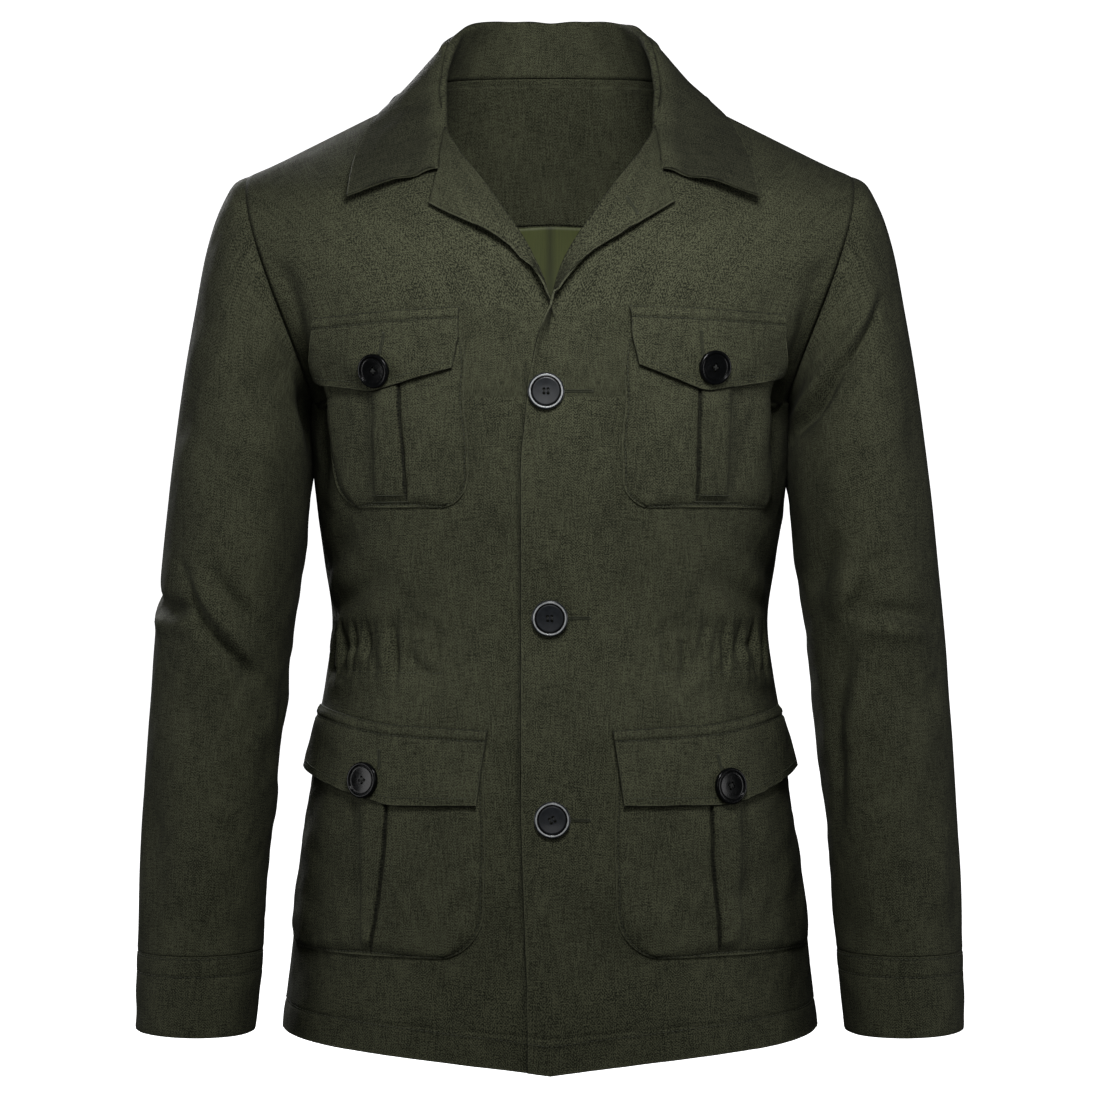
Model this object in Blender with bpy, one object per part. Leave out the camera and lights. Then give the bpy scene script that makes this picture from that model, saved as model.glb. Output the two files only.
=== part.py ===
"""Safari jacket for a man, filled out as worn but with no wearer: the pieces of its cut as thin-walled solids.

Metres, +Z up, the front faces -Y and the wearer's left is +X. The origin is at the middle of the neck opening, on
the level of the shoulders' tops, where the wearer holds the jacket up. Each piece is a sheet of points worked out
on the garment's outer face and given its cloth's thickness inwards. Neighbouring pieces share their seam's points
and end SEAM_GAP apart.
"""

import math

import bpy
import numpy as np
from mathutils import Vector
from mathutils.bvhtree import BVHTree

# ---- Driving sizes ----
HEM_Z = -0.692
UNDERARM = np.array((0.178, 0.0, -0.225))
SHOULDER_TIP = np.array((0.224, 0.0, -0.054))
NECK_POINT = np.array((0.082, 0.0, 0.017))
NAPE_Y, NAPE_Z = 0.066, 0.030
FRONT_HEM_DIP, SIDE_HEM_RISE = 0.0162, 0.0040
ARMHOLE_FRONT, ARMHOLE_BACK, ARMHOLE_BULGE, ARMHOLE_LEAN = 0.062, 0.066, 0.0045, 0.0040
CLOTH, COLLAR_PLY, FLAP_PLY, POCKET_PLY, LINING_PLY = 0.0016, 0.0020, 0.0022, 0.0012, 0.0010
SEAM_GAP = 0.0003
ROLL_RADIUS = 0.0012
OVERLAP = 0.0213  # how far each front passes the centre line at the waist
UPPER_NARROWING = 0.0050  # how much less the upper one does at the hem and below the V
UNDERLAP_DEPTH = 0.0023  # how far the under front lies behind the upper one
BUTTON_RADIUS, CHEST_BUTTON_RADIUS, BUTTON_DISH = 0.0130, 0.0123, 0.0022
PLEAT_RISE, PLEAT_FOLD = 0.0012, 0.0007
POCKET_LIFT = 0.0010

# ---- How finely the pieces are divided ----
BUTTON_SIDES = 16
ARMHOLE_STEPS = 12  # from the underarm to the shoulder's tip, on each face
V_STEP = 5  # the armhole step on whose level the two fronts part
ROLL_END_STEP = 10  # the armhole step on whose level the lapel ends and the collar begins
SIDE_LEVELS = (
    -0.692, -0.655, -0.608, -0.565, -0.520, -0.475, -0.445, -0.425,
    -0.405, -0.386, -0.366, -0.345, -0.318, -0.288, -0.257, -0.225,
)
FRONT_STEPS, GATHER_STEPS, SIDE_STEPS = 4, 10, 5
LAPEL_STEPS = 6
NECK_STEPS, SHOULDER_STEPS = 5, 5
STAND_STEPS, ROLL_STEPS, FALL_STEPS = 3, 3, 4
LINING_ROW, FACING_STEP = 11, 7  # the level where the back's lining ends, and the armhole step where it begins
LINING_COLUMNS = 8  # how many columns of the back it covers on each side of the middle
NECK_SHARE = 0.33  # the share of the back's half width whose top is the neck


def table(names, *rows):
    """Rows of named columns. The first column rises, and the others are read along it."""
    columns = np.array(rows, float).T
    return dict(zip(names.split(), columns), keys=columns[0])


def read(rows, name, at):
    """One column of a table, read smoothly between its rows."""
    keys, values = rows["keys"], rows[name]
    slopes = np.gradient(values, keys)
    at = np.clip(at, keys[0], keys[-1])
    i = np.clip(np.searchsorted(keys, at) - 1, 0, len(keys) - 2)
    step = keys[i + 1] - keys[i]
    t = (at - keys[i]) / step
    start = (1 + 2 * t) * (1 - t) ** 2 * values[i] + t * (1 - t) ** 2 * step * slopes[i]
    end = t * t * (3 - 2 * t) * values[i + 1] + t * t * (t - 1) * step * slopes[i + 1]
    return start + end


# Half width at the side seams and the depth in front and behind, by level.
BODY = table(
    "z x_side y_front y_back",
    (-0.692, 0.2000, -0.122, 0.128),
    (-0.641, 0.1940, -0.124, 0.132),
    (-0.581, 0.1870, -0.124, 0.131),
    (-0.521, 0.1790, -0.122, 0.122),
    (-0.461, 0.1715, -0.118, 0.110),
    (-0.431, 0.1660, -0.115, 0.103),
    (-0.386, 0.1608, -0.112, 0.098),
    (-0.341, 0.1670, -0.118, 0.102),
    (-0.281, 0.1755, -0.127, 0.113),
    (-0.225, 0.1780, -0.130, 0.121),
    (-0.150, 0.1780, -0.1285, 0.125),
)
# The fullness of a level's section, front and back, and how many degrees of its quarter it runs through: 2 is
# an ellipse, more is squarer, 1 is straight. Along v, a side seam runs from 0 at the hem to 1 at the
# underarm, and the armhole from there to 2 at the shoulder's tip.
SECTION = table(
    "v front back front_end back_end",
    (0, 2.3, 2.3, 90, 90),
    (1, 2.3, 2.3, 90, 90),
    (1.083, 2.3, 2.3, 84.8, 84.0),
    (1.167, 2.3, 2.3, 78.9, 77.5),
    (1.25, 2.3, 2.3, 73.4, 71.4),
    (1.333, 2.2, 2.3, 69, 66),
    (1.417, 2.1, 2.3, 66, 62),
    (1.6, 1.8, 2.2, 64, 60),
    (1.8, 1.4, 1.9, 64, 60),
    (2, 1, 1.6, 64, 60),
)
# The front's inner edge above the V, by share of the way to the shoulder: the lapel's roll line, then the
# neck.
ROLL_LINE = table(
    "share x y z",
    (0 / 7, 0.0040, -0.1285, -0.1616),
    (1 / 7, 0.0135, -0.1225, -0.1270),
    (2 / 7, 0.0316, -0.1110, -0.0962),
    (3 / 7, 0.0489, -0.0955, -0.0708),
    (4 / 7, 0.0658, -0.0760, -0.0476),
    (5 / 7, 0.0770, -0.0520, -0.0266),
    (6 / 7, 0.0812, -0.0240, -0.0020),
    (7 / 7, 0.0820, 0.0000, 0.0170),
)
# The lapels' free edges as they lie on the chest, how far they stand off it, and how far each is turned over.
UPPER_LAPEL = table(
    "v x z lift turned flat",
    (1.250, 0.0060, -0.2000, 0.004, 0.00, 0.0130),
    (1.333, 0.0096, -0.1813, 0.005, 0.18, 0.0125),
    (1.417, 0.0167, -0.1600, 0.006, 0.56, 0.0125),
    (1.500, 0.0345, -0.1258, 0.006, 0.93, 0.0215),
    (1.583, 0.0530, -0.1115, 0.006, 1.00, 0.0215),
    (1.667, 0.0680, -0.1020, 0.006, 1.00, 0.0215),
    (1.750, 0.0790, -0.0945, 0.005, 1.00, 0.0215),
    (1.833, 0.0887, -0.0862, 0.004, 1.00, 0.0215),
)
UNDER_LAPEL = table(
    "v x z lift turned flat",
    (1.250, 0.0060, -0.2000, 0.003, 0.00, 0.0180),
    (1.333, 0.0060, -0.1813, 0.003, 0.00, 0.0110),
    (1.417, 0.0080, -0.1600, 0.003, 0.00, 0.0028),
    (1.500, 0.0215, -0.1285, 0.004, 1.00, 0.0028),
    (1.583, 0.0360, -0.1105, 0.006, 1.00, 0.0028),
    (1.667, 0.0560, -0.1020, 0.006, 1.00, 0.0028),
    (1.750, 0.0720, -0.0955, 0.005, 1.00, 0.0028),
    (1.833, 0.0861, -0.0877, 0.004, 1.00, 0.0028),
)
NOTCH_X, NOTCH_Z = 0.0800, -0.0615  # where the collar's front edge leaves the lapel
# The back's centre line above the underarm.
NAPE = table(
    "v y z",
    (1.000, 0.1210, -0.2250),
    (1.200, 0.1255, -0.1880),
    (1.400, 0.1230, -0.1350),
    (1.583, 0.1130, -0.0777),
    (1.800, 0.0930, -0.0250),
    (2.000, NAPE_Y, NAPE_Z),
)
# The collar's crease and its outer edge, from the nape round to the front corner.
COLLAR = table(
    "step x_crease y_crease z_crease x_edge y_edge z_edge",
    (0, 0.0000, 0.0650, 0.0700, 0.0000, 0.0880, 0.0060),
    (1, 0.0205, 0.0615, 0.0698, 0.0300, 0.0860, 0.0055),
    (2, 0.0400, 0.0510, 0.0680, 0.0580, 0.0760, 0.0045),
    (3, 0.0555, 0.0350, 0.0636, 0.0800, 0.0570, 0.0030),
    (4, 0.0670, 0.0150, 0.0548, 0.1000, 0.0310, 0.0020),
    (5, 0.0745, -0.0050, 0.0365, 0.1160, 0.0000, 0.0012),
    (6, 0.0785, -0.0290, 0.0055, 0.1335, -0.0360, -0.0220),
    (7, 0.0770, -0.0520, -0.0266, 0.1420, -0.0620, -0.0460),
    (8, 0.0785, -0.0700, -0.0440, 0.1450, -0.0800, -0.0640),
    (9, 0.0800, -0.0900, -0.0615, 0.1465, -0.0930, -0.0800),
)
COLLAR_LIFT, COLLAR_SWELL = 0.0030, 0.0026
LEFT_COLLAR_SPREAD = 0.0045  # how much further out the wearer's left point lies
# Rings of a sleeve: its outer and inner line in the front view, and its depth.
SLEEVE = table(
    "ring z_out x_out z_in x_in y_front y_back bulge lean",
    (0, -0.054, 0.2240, -0.225, 0.1780, -0.0620, 0.0660, 0.0045, 0.0040),
    (0.5, -0.0592, 0.2347, -0.228, 0.1790, -0.0655, 0.0685, 0.0040, 0.0030),
    (1, -0.0730, 0.2433, -0.231, 0.1798, -0.0680, 0.0700, 0.0030, 0.0020),
    (2, -0.108, 0.2560, -0.240, 0.1805, -0.0730, 0.0730, 0.0015, 0.0005),
    (3, -0.155, 0.2650, -0.255, 0.1802, -0.0770, 0.0740, 0, 0),
    (4, -0.205, 0.2732, -0.275, 0.1797, -0.0800, 0.0720, 0, 0),
    (5, -0.262, 0.2805, -0.303, 0.1814, -0.0815, 0.0680, 0, 0),
    (6, -0.315, 0.2862, -0.335, 0.1838, -0.0820, 0.0620, 0, 0),
    (7, -0.350, 0.2895, -0.362, 0.1870, -0.0810, 0.0570, 0, 0),
    (8, -0.380, 0.2922, -0.388, 0.1900, -0.0800, 0.0520, 0, 0),
    (9, -0.410, 0.2946, -0.414, 0.1928, -0.0795, 0.0470, 0, 0),
    (10, -0.440, 0.2962, -0.442, 0.1956, -0.0795, 0.0420, 0, 0),
    (11, -0.475, 0.2984, -0.476, 0.1988, -0.0805, 0.0340, 0, 0),
    (12, -0.525, 0.3006, -0.525, 0.2035, -0.0830, 0.0240, 0, 0),
    (13, -0.577, 0.3024, -0.577, 0.2085, -0.0860, 0.0160, 0, 0),
    (14, -0.627, 0.3034, -0.627, 0.2115, -0.0890, 0.0090, 0, 0),
    (15, -0.656, 0.3037, -0.656, 0.2140, -0.0915, 0.0040, 0, 0),
    (16, -0.6845, 0.3035, -0.6865, 0.2172, -0.0940, -0.0010, 0, 0),
)
CUFF_RING, END_RING = 14, 16
SLEEVE_RINGS = (0, 0.5, 1, 2, 3, 4, 5, 6, 6.5, 7, 7.5, 8, 8.5, 9, 9.5, 10, 11, 12, 13, 14)
# The largest creases of a sleeve: from and to, as a turn in degrees from its outer line towards the front and
# a level, with the crease's half width, and its depth inwards, or its height with a minus.
SLEEVE_CREASES = table(
    "row turn_from z_from turn_to z_to half_width depth",
    (0, 40, -0.352, 130, -0.402, 0.011, 0.0050),
    (1, 30, -0.385, 120, -0.440, 0.011, 0.0040),
    (2, 32, -0.368, 125, -0.421, 0.009, -0.0030),
    (3, 215, -0.360, 320, -0.385, 0.012, 0.0040),
    (4, 225, -0.405, 315, -0.425, 0.012, 0.0030),
    (5, 95, -0.200, 150, -0.262, 0.013, 0.0040),
    (6, 255, -0.150, 215, -0.235, 0.013, 0.0040),
)
# Waist gathers: a run of elastic in each front between two distances from the centre.
GATHER_START, GATHER_END, GATHERS = 0.081, 0.190, 5
GATHER_DEPTH = table(
    "z depth",
    (-0.470, 0),
    (-0.445, 0.0008),
    (-0.425, 0.0024),
    (-0.405, 0.0030),
    (-0.386, 0.0028),
    (-0.366, 0.0014),
    (-0.345, 0.0004),
    (-0.318, 0),
)
# Pockets and flaps, each side its own, as distances along the cloth from the centre line and levels.
CHEST_POCKET = {
    1: table(
        "z inner outer pleat_in pleat_out",
        (-0.3035, 0.0740, 0.1690, 0.1070, 0.1325),
        (-0.2925, 0.0590, 0.1810, 0.1072, 0.1328),
        (-0.2830, 0.0545, 0.1860, 0.1074, 0.1331),
        (-0.2250, 0.0534, 0.1850, 0.1088, 0.1348),
        (-0.1900, 0.0534, 0.1740, 0.1096, 0.1356),
        (-0.1800, 0.0560, 0.1700, 0.1096, 0.1356),
    ),
    -1: table(
        "z inner outer pleat_in pleat_out",
        (-0.3035, 0.0770, 0.1470, 0.1040, 0.1300),
        (-0.2925, 0.0680, 0.1580, 0.1045, 0.1303),
        (-0.2830, 0.0625, 0.1650, 0.1050, 0.1306),
        (-0.2250, 0.0612, 0.1860, 0.1095, 0.1321),
        (-0.1900, 0.0612, 0.1760, 0.1104, 0.1330),
        (-0.1800, 0.0640, 0.1710, 0.1104, 0.1330),
    ),
}
HIP_POCKET = {
    1: table(
        "z inner outer pleat_in pleat_out",
        (-0.6250, 0.0800, 0.2130, 0.1240, 0.1400),
        (-0.6190, 0.0640, 0.2300, 0.1235, 0.1410),
        (-0.6080, 0.0520, 0.2380, 0.1230, 0.1415),
        (-0.5650, 0.0464, 0.2390, 0.1195, 0.1425),
        (-0.4860, 0.0475, 0.2120, 0.1165, 0.1428),
    ),
    -1: table(
        "z inner outer pleat_in pleat_out",
        (-0.6250, 0.0800, 0.2130, 0.1320, 0.1390),
        (-0.6190, 0.0640, 0.2300, 0.1310, 0.1395),
        (-0.6080, 0.0520, 0.2380, 0.1290, 0.1400),
        (-0.5650, 0.0464, 0.2390, 0.1230, 0.1412),
        (-0.4860, 0.0475, 0.2120, 0.1180, 0.1425),
    ),
}
# A flap's rows run from its free lower edge, which has a blunt point, to the seam it hangs from.
CHEST_FLAP = {
    1: table(
        "across s_low z_low s_high z_high",
        (0.00, 0.0610, -0.2025, 0.0505, -0.1608),
        (0.44, 0.1120, -0.2208, 0.1050, -0.1615),
        (1.00, 0.1880, -0.2055, 0.1710, -0.1628),
    ),
    -1: table(
        "across s_low z_low s_high z_high",
        (0.00, 0.0672, -0.2048, 0.0585, -0.1612),
        (0.48, 0.1300, -0.2205, 0.1150, -0.1628),
        (1.00, 0.1935, -0.2088, 0.1735, -0.1655),
    ),
}
HIP_FLAP = {
    side: table(
        "across s_low z_low s_high z_high",
        (0.00, 0.0500, -0.5165, 0.0425, -0.4620),
        (0.50, 0.1250 + 0.009 * side, -0.5175, 0.1200, -0.4585),
        (1.00, 0.2160, -0.4940, 0.2010, -0.4470),
    )
    for side in (1, -1)
}
# How far a flap stands off the body, from its free edge up to its seam.
FLAP_DROP = table(
    "share lift",
    (0.00, 0.0042),
    (0.35, 0.0040),
    (0.72, 0.0034),
    (0.90, 0.0016),
    (1.00, 0.0000),
)
# A button's outline, as shares of its radius and heights, from under its rim round to the dish.
BUTTON_PROFILE = ((0.86, 0), (1.0, 0.0010), (1.0, 0.0026), (0.92, 0.0038), (0.80, 0.0036), (0.68, 0.0026))
# Where the buttons sit: distance along the cloth from the centre line and level.
FRONT_BUTTONS = ((-0.0025, -0.2212), (0.0000, -0.3823), (0.0015, -0.5255))
CHEST_BUTTONS = {1: (0.1168, -0.2027), -1: (0.1253, -0.2046)}
HIP_BUTTONS = {1: (0.1298, -0.5035), -1: (0.1352, -0.4995)}


def armhole(turn, back):
    """A point of the armhole, turned in degrees from the shoulder's tip down to the underarm."""
    angle = np.radians(turn)
    middle, arm = (SHOULDER_TIP + UNDERARM) / 2, (SHOULDER_TIP - UNDERARM) / 2
    depth = ARMHOLE_BACK if back else -ARMHOLE_FRONT
    x = middle[0] + arm[0] * np.cos(angle)
    x = x + ARMHOLE_BULGE * np.sin(angle) ** 2 + ARMHOLE_LEAN * np.sin(2 * angle)
    return np.stack([x, depth * np.sin(angle), middle[2] + arm[2] * np.cos(angle)], axis=-1)


def v_of_level(z):
    """How far along the side seam and armhole a level lies."""
    middle, arm = (SHOULDER_TIP + UNDERARM) / 2, (SHOULDER_TIP - UNDERARM) / 2
    seam = (z - HEM_Z) / (UNDERARM[2] - HEM_Z)
    above = 2 - np.degrees(np.arccos(np.clip((z - middle[2]) / arm[2], -1, 1))) / 180
    return np.where(z <= UNDERARM[2], seam, above)


def side_line(v, back):
    """The side seam and then the armhole: a panel's outer edge."""
    z = HEM_Z + (UNDERARM[2] - HEM_Z) * np.minimum(v, 1)
    seam = np.stack([read(BODY, "x_side", z), 0 * z, z], axis=-1)
    return np.where((v > 1)[..., None], armhole(180 * (2 - np.maximum(v, 1)), back), seam)


def smooth_step(start, end, at):
    t = np.clip((at - start) / (end - start), 0, 1)
    return t * t * (3 - 2 * t)


def section(u, fullness, end):
    """How far across and how far back a rounded section has gone at u, each from 0 to 1."""
    power, last = 2 / fullness, np.radians(end)
    angle = np.clip(u, 0, 1) * last
    near = np.maximum(np.cos(angle), 0) ** power
    return np.sin(angle) ** power / np.sin(last) ** power, (1 - near) / (1 - np.maximum(np.cos(last), 0) ** power)


V_AT = 1 + V_STEP / ARMHOLE_STEPS
BODY_LEVELS = (*SIDE_LEVELS, *armhole(np.arange(165, 90, -15), False)[:, 2])


def front(u, v):
    """The outer face of the front on the wearer's left: u from the centre or roll line (0) to the side (1)."""
    u, v = np.broadcast_arrays(np.asarray(u, float), np.asarray(v, float))
    side = side_line(v, False)
    share = (v - V_AT) / (2 - V_AT)
    above = (share > 0)[..., None]
    level = np.stack([0 * v, read(BODY, "y_front", side[..., 2]), side[..., 2]], axis=-1)
    level[..., 0] = ROLL_LINE["x"][0] * smooth_step(V_AT - 0.1, V_AT, v)
    edge = np.stack([read(ROLL_LINE, axis, share) for axis in "xyz"], axis=-1)
    inner = np.where(above, edge, level)
    across, deep = section(u, read(SECTION, "front", v), read(SECTION, "front_end", v))
    x = inner[..., 0] + (side[..., 0] - inner[..., 0]) * across
    y = inner[..., 1] + (side[..., 1] - inner[..., 1]) * deep
    z = inner[..., 2] + (side[..., 2] - inner[..., 2]) * across
    dip = FRONT_HEM_DIP * np.clip(1 - across, 0, 1) ** 1.6 - SIDE_HEM_RISE * across**10
    return np.stack([x, y, z - dip * (1 - smooth_step(0, 0.12, v))], axis=-1)


def front_at(s, z):
    """A point of the front, from its distance along the cloth from the centre line and its level, below the
    V."""
    s, z = np.broadcast_arrays(np.asarray(s, float), np.asarray(z, float))
    u = np.linspace(0, 1, 129)
    section = front(u, v_of_level(z)[..., None])
    steps = np.linalg.norm(np.diff(section[..., :2], axis=-2), axis=-1)
    arc = np.concatenate([0 * steps[..., :1], np.cumsum(steps, axis=-1)], axis=-1)
    i = np.clip((arc < s[..., None]).sum(axis=-1), 1, len(u) - 1)
    low, high = (np.take_along_axis(arc, k[..., None], -1)[..., 0] for k in (i - 1, i))
    part = (s - low) / (high - low)
    return front(u[i - 1] + part * (u[i] - u[i - 1]), v_of_level(z))


def on_front(s, z, lift, reach=0.002):
    """A point that stands off the front by the lift."""
    along = front_at(s + reach, z) - front_at(s - reach, z)
    up = front_at(s, z + reach) - front_at(s, z - reach)
    out = np.cross(along, up)
    out /= np.linalg.norm(out, axis=-1, keepdims=True)
    return front_at(s, z) + out * np.asarray(lift)[..., None], out


def back(u, v):
    """The outer face of the back's half on the wearer's left: u from the centre (0) to the side (1)."""
    u, v = np.broadcast_arrays(np.asarray(u, float), np.asarray(v, float))
    side = side_line(v, True)
    low = np.stack([0 * v, read(BODY, "y_back", side[..., 2]), side[..., 2]], axis=-1)
    high = np.stack([0 * v, read(NAPE, "y", v), read(NAPE, "z", v)], axis=-1)
    inner = np.where((v > 1)[..., None], high, low)

    def row(at, middle, end):
        across, deep = section(u, read(SECTION, "back", at), read(SECTION, "back_end", at))
        depth = middle[..., 1] + (end[..., 1] - middle[..., 1]) * deep
        rise = middle[..., 2] + (end[..., 2] - middle[..., 2]) * across**1.5
        return np.stack([end[..., 0] * across, depth, rise], axis=-1)

    last = row(np.array((2.0,)), np.array([[0, NAPE_Y, NAPE_Z]]), SHOULDER_TIP[None])
    blend = np.clip((v - 1.25) / 0.75, 0, 1) ** 2
    points = row(v, inner, side) + (neck_and_shoulder(u) - last) * blend[..., None]
    rise = SIDE_HEM_RISE * (np.abs(points[..., 0]) / side[..., 0]) ** 10 * (1 - smooth_step(0, 0.12, v))
    return points + rise[..., None] * (0, 0, 1)


def neck_and_shoulder(u):
    """The back's top edge: half of the neck and then the shoulder seam."""
    angle = np.clip(u / NECK_SHARE, 0, 1) * math.pi / 2
    drop = NAPE_Z - NECK_POINT[2]
    neck = np.stack(
        [NECK_POINT[0] * np.sin(angle), NAPE_Y * np.cos(angle), NAPE_Z - drop * (1 - np.cos(angle))], axis=-1
    )
    share = np.clip((u - NECK_SHARE) / (1 - NECK_SHARE), 0, 1)[..., None]
    return np.where((u > NECK_SHARE)[..., None], NECK_POINT + (SHOULDER_TIP - NECK_POINT) * share, neck)


def creased(turn, z, girth=0.40):
    """How far the creases of a sleeve push its cloth inwards."""
    depth = np.zeros(np.broadcast(turn, z).shape)
    for k in range(len(SLEEVE_CREASES["keys"])):
        row = {name: column[k] for name, column in SLEEVE_CREASES.items()}
        a = np.array((row["turn_from"] / 360 * girth, row["z_from"]))
        b = np.array((row["turn_to"] / 360 * girth, row["z_to"]))
        x, y = turn / 360 * girth - a[0], z - a[1]
        along = (x * (b - a)[0] + y * (b - a)[1]) / ((b - a) @ (b - a))
        near = np.clip(along, 0, 1)
        gap = np.hypot(x - near * (b - a)[0], y - near * (b - a)[1])
        fade = np.sin(math.pi * np.clip(near, 0.12, 0.88))
        depth = depth + row["depth"] * fade * np.exp(-((gap / row["half_width"]) ** 2))
    return depth


def sleeve(turn, ring):
    """A point of the sleeve on the wearer's left, turned in degrees from its outer line towards the front."""
    turn, ring = np.broadcast_arrays(np.asarray(turn, float), np.asarray(ring, float))
    value = {name: read(SLEEVE, name, ring) for name in SLEEVE if name not in ("ring", "keys")}
    angle = np.radians(turn)
    cos, sin = np.cos(angle), np.sin(angle)
    x = (value["x_out"] + value["x_in"]) / 2 + (value["x_out"] - value["x_in"]) / 2 * cos
    z = (value["z_out"] + value["z_in"]) / 2 + (value["z_out"] - value["z_in"]) / 2 * cos
    middle = (value["y_front"] + value["y_back"]) / 2 * np.minimum(ring, 1)
    reach = np.where(sin > 0, middle - value["y_front"], value["y_back"] - middle)
    push = creased(turn % 360, z)
    half = (value["x_out"] - value["x_in"]) / 2
    shrink = 1 - push * smooth_step(0, 2, ring) / half
    x = x + value["bulge"] * sin**2 + value["lean"] * 2 * np.abs(sin) * cos
    mid_x = (value["x_out"] + value["x_in"]) / 2
    return np.stack([mid_x + (x - mid_x) * shrink, middle - reach * sin * shrink, z], axis=-1)


# ---- Sheets: a piece's outer points, and the solid made from them ----
class Sheet:
    """One piece of the cut: a grid of points on its outer face, which of its quads are cloth, and its
    thickness."""

    def __init__(self, name, points, ply, colour, shown=None):
        rows, columns = points.shape[:2]
        self.name, self.colour = name, colour
        shown = np.ones((rows - 1, columns - 1), bool) if shown is None else shown
        ply = np.broadcast_to(ply, (rows, columns))
        used = np.zeros((rows, columns), bool)
        for r, c in ((0, 0), (0, 1), (1, 0), (1, 1)):
            used[r : rows - 1 + r, c : columns - 1 + c] |= shown
        number, index = {}, -np.ones((rows, columns), int)
        for r, c in zip(*np.nonzero(used)):
            index[r, c] = number.setdefault(tuple(np.round(points[r, c], 6)), len(number))
        self.points = np.zeros((len(number), 3))
        self.ply = np.zeros(len(number))
        self.points[index[used]] = points[used]
        self.ply[index[used]] = ply[used]
        self.faces = []
        for r, c in zip(*np.nonzero(shown)):
            corners = (index[r, c], index[r, c + 1], index[r + 1, c + 1], index[r + 1, c])
            corners = [k for i, k in enumerate(corners) if k != corners[i - 1]]
            if len(corners) > 2:
                self.faces.append(corners)
        self.normals = self.own_normals()

    def own_normals(self):
        normals = np.zeros_like(self.points)
        for face in self.faces:
            p = self.points[face]
            cross = np.cross(p[2] - p[0], p[-1] - p[1] if len(face) == 4 else p[1] - p[0])
            cross *= 1 if len(face) == 4 else -1
            normals[face] += cross
        return normals / np.maximum(np.linalg.norm(normals, axis=1, keepdims=True), 1e-12)

    def rim(self):
        """Its open edges, each as its face runs along it."""
        edges = {}
        for face in self.faces:
            for a, b in zip(face, face[1:] + face[:1]):
                edges[(a, b)] = edges.get((a, b), 0) + 1
        return [edge for edge in edges if edge[::-1] not in edges]

    def trimmed(self, rim):
        """Its points, with those on an open edge drawn in by half a seam's gap."""
        centres = [self.points[face].mean(axis=0) for face in self.faces]
        inward, along = {}, {}
        for face, centre in zip(self.faces, centres):
            for k in face:
                inward.setdefault(k, []).append(centre - self.points[k])
        for a, b in rim:
            for k in (a, b):
                along.setdefault(k, []).append(self.points[b] - self.points[a])
        points = self.points.copy()
        for k, edges in along.items():
            tangent = Vector(np.sum([e / np.linalg.norm(e) for e in edges], axis=0)).normalized()
            pull = Vector(np.mean(inward[k], axis=0))
            pull -= tangent * pull.dot(tangent)
            points[k] += np.array(pull.normalized()) * SEAM_GAP * 0.55
        return points

    def build(self, shared=None, shoulder=None):
        """The closed solid: the outer face, the inner one behind it, and a wall along each open edge."""
        rim = self.rim()
        outer = self.trimmed(rim)
        inner = outer.copy()
        shared, shoulder = shared or {}, shoulder or {}
        for k, own in enumerate(self.normals):
            place = tuple(np.round(self.points[k], 5))
            lean = shared.get(place, own)
            if self.name != "collar":
                lean = shoulder.get(place, lean)
            facing = float(lean @ own)
            way = lean / facing if facing > 0.5 else own
            inner[k] -= way * self.ply[k]
        count = len(outer)
        faces = [list(face) for face in self.faces]
        faces += [[k + count for k in face[:1] + face[:0:-1]] for face in self.faces]
        for a, b in rim:
            wall = [b, a, a + count, b + count]
            ahead = tuple(self.points[a]) > tuple(self.points[b])
            faces.append(wall[1:] + wall[:1] if ahead else wall)
        solid(self.name, np.concatenate([outer, inner]), faces, self.colour)


def shared_normals(sheets):
    """The way that sewn pieces lean together where they meet, by place."""
    sums = {}
    for sheet in sheets:
        for point, normal in zip(sheet.points, sheet.normals):
            sums.setdefault(tuple(np.round(point, 5)), []).append(normal)
    ridge = SHOULDER_TIP - NECK_POINT
    shared, shoulder = {}, {}
    for place, normals in sums.items():
        mean = np.sum(normals, axis=0)
        if len(normals) > 1 and np.linalg.norm(mean) > 0.2:
            shared[place] = mean / np.linalg.norm(mean)
        offset = np.array((abs(place[0]), *place[1:])) - NECK_POINT
        if np.linalg.norm(np.cross(offset, ridge)) < 1e-5 and -0.01 < offset @ ridge / (ridge @ ridge) < 0.99:
            up = np.array((math.copysign(-ridge[2], place[0]), 0, ridge[0]))
            shoulder[place] = up / np.linalg.norm(up)
    return shared, shoulder


def solid(name, points, faces, colour):
    mesh = bpy.data.meshes.new(name)
    mesh.from_pydata([tuple(p) for p in points], [], faces)
    mesh.validate()
    mesh.shade_smooth()
    mesh.set_sharp_from_angle(angle=math.radians(50))
    obj = bpy.data.objects.new(name, mesh)
    obj.data.materials.append(material(name, *COLOURS[colour]))
    bpy.context.scene.collection.objects.link(obj)
    return obj


# Base colour, roughness and metallic value of each kind of piece.
COLOURS = {
    "body cloth": ((0.036, 0.040, 0.023), 0.92, 0.0),
    "sleeve cloth": ((0.030, 0.033, 0.020), 0.92, 0.0),
    "lining": ((0.085, 0.095, 0.035), 0.75, 0.0),
    "button": ((0.010, 0.011, 0.012), 0.30, 0.0),
}


def material(name, colour, roughness, metallic):
    made = bpy.data.materials.new(name)
    made.use_nodes = True
    shader = made.node_tree.nodes["Principled BSDF"]
    shader.inputs["Base Color"].default_value = (*colour, 1)
    shader.inputs["Roughness"].default_value = roughness
    shader.inputs["Metallic"].default_value = metallic
    made.diffuse_color = (*colour, 1)
    return made


def mirrored(points):
    """The same sheet on the wearer's right, facing out again."""
    return (points * (-1, 1, 1))[:, ::-1]


# ---- The fronts and lapels ----
def panel_rows():
    seam = [float(v_of_level(np.array(z))) for z in SIDE_LEVELS]
    return np.array(seam + [1 + k / ARMHOLE_STEPS for k in range(1, ARMHOLE_STEPS + 1)])


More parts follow.
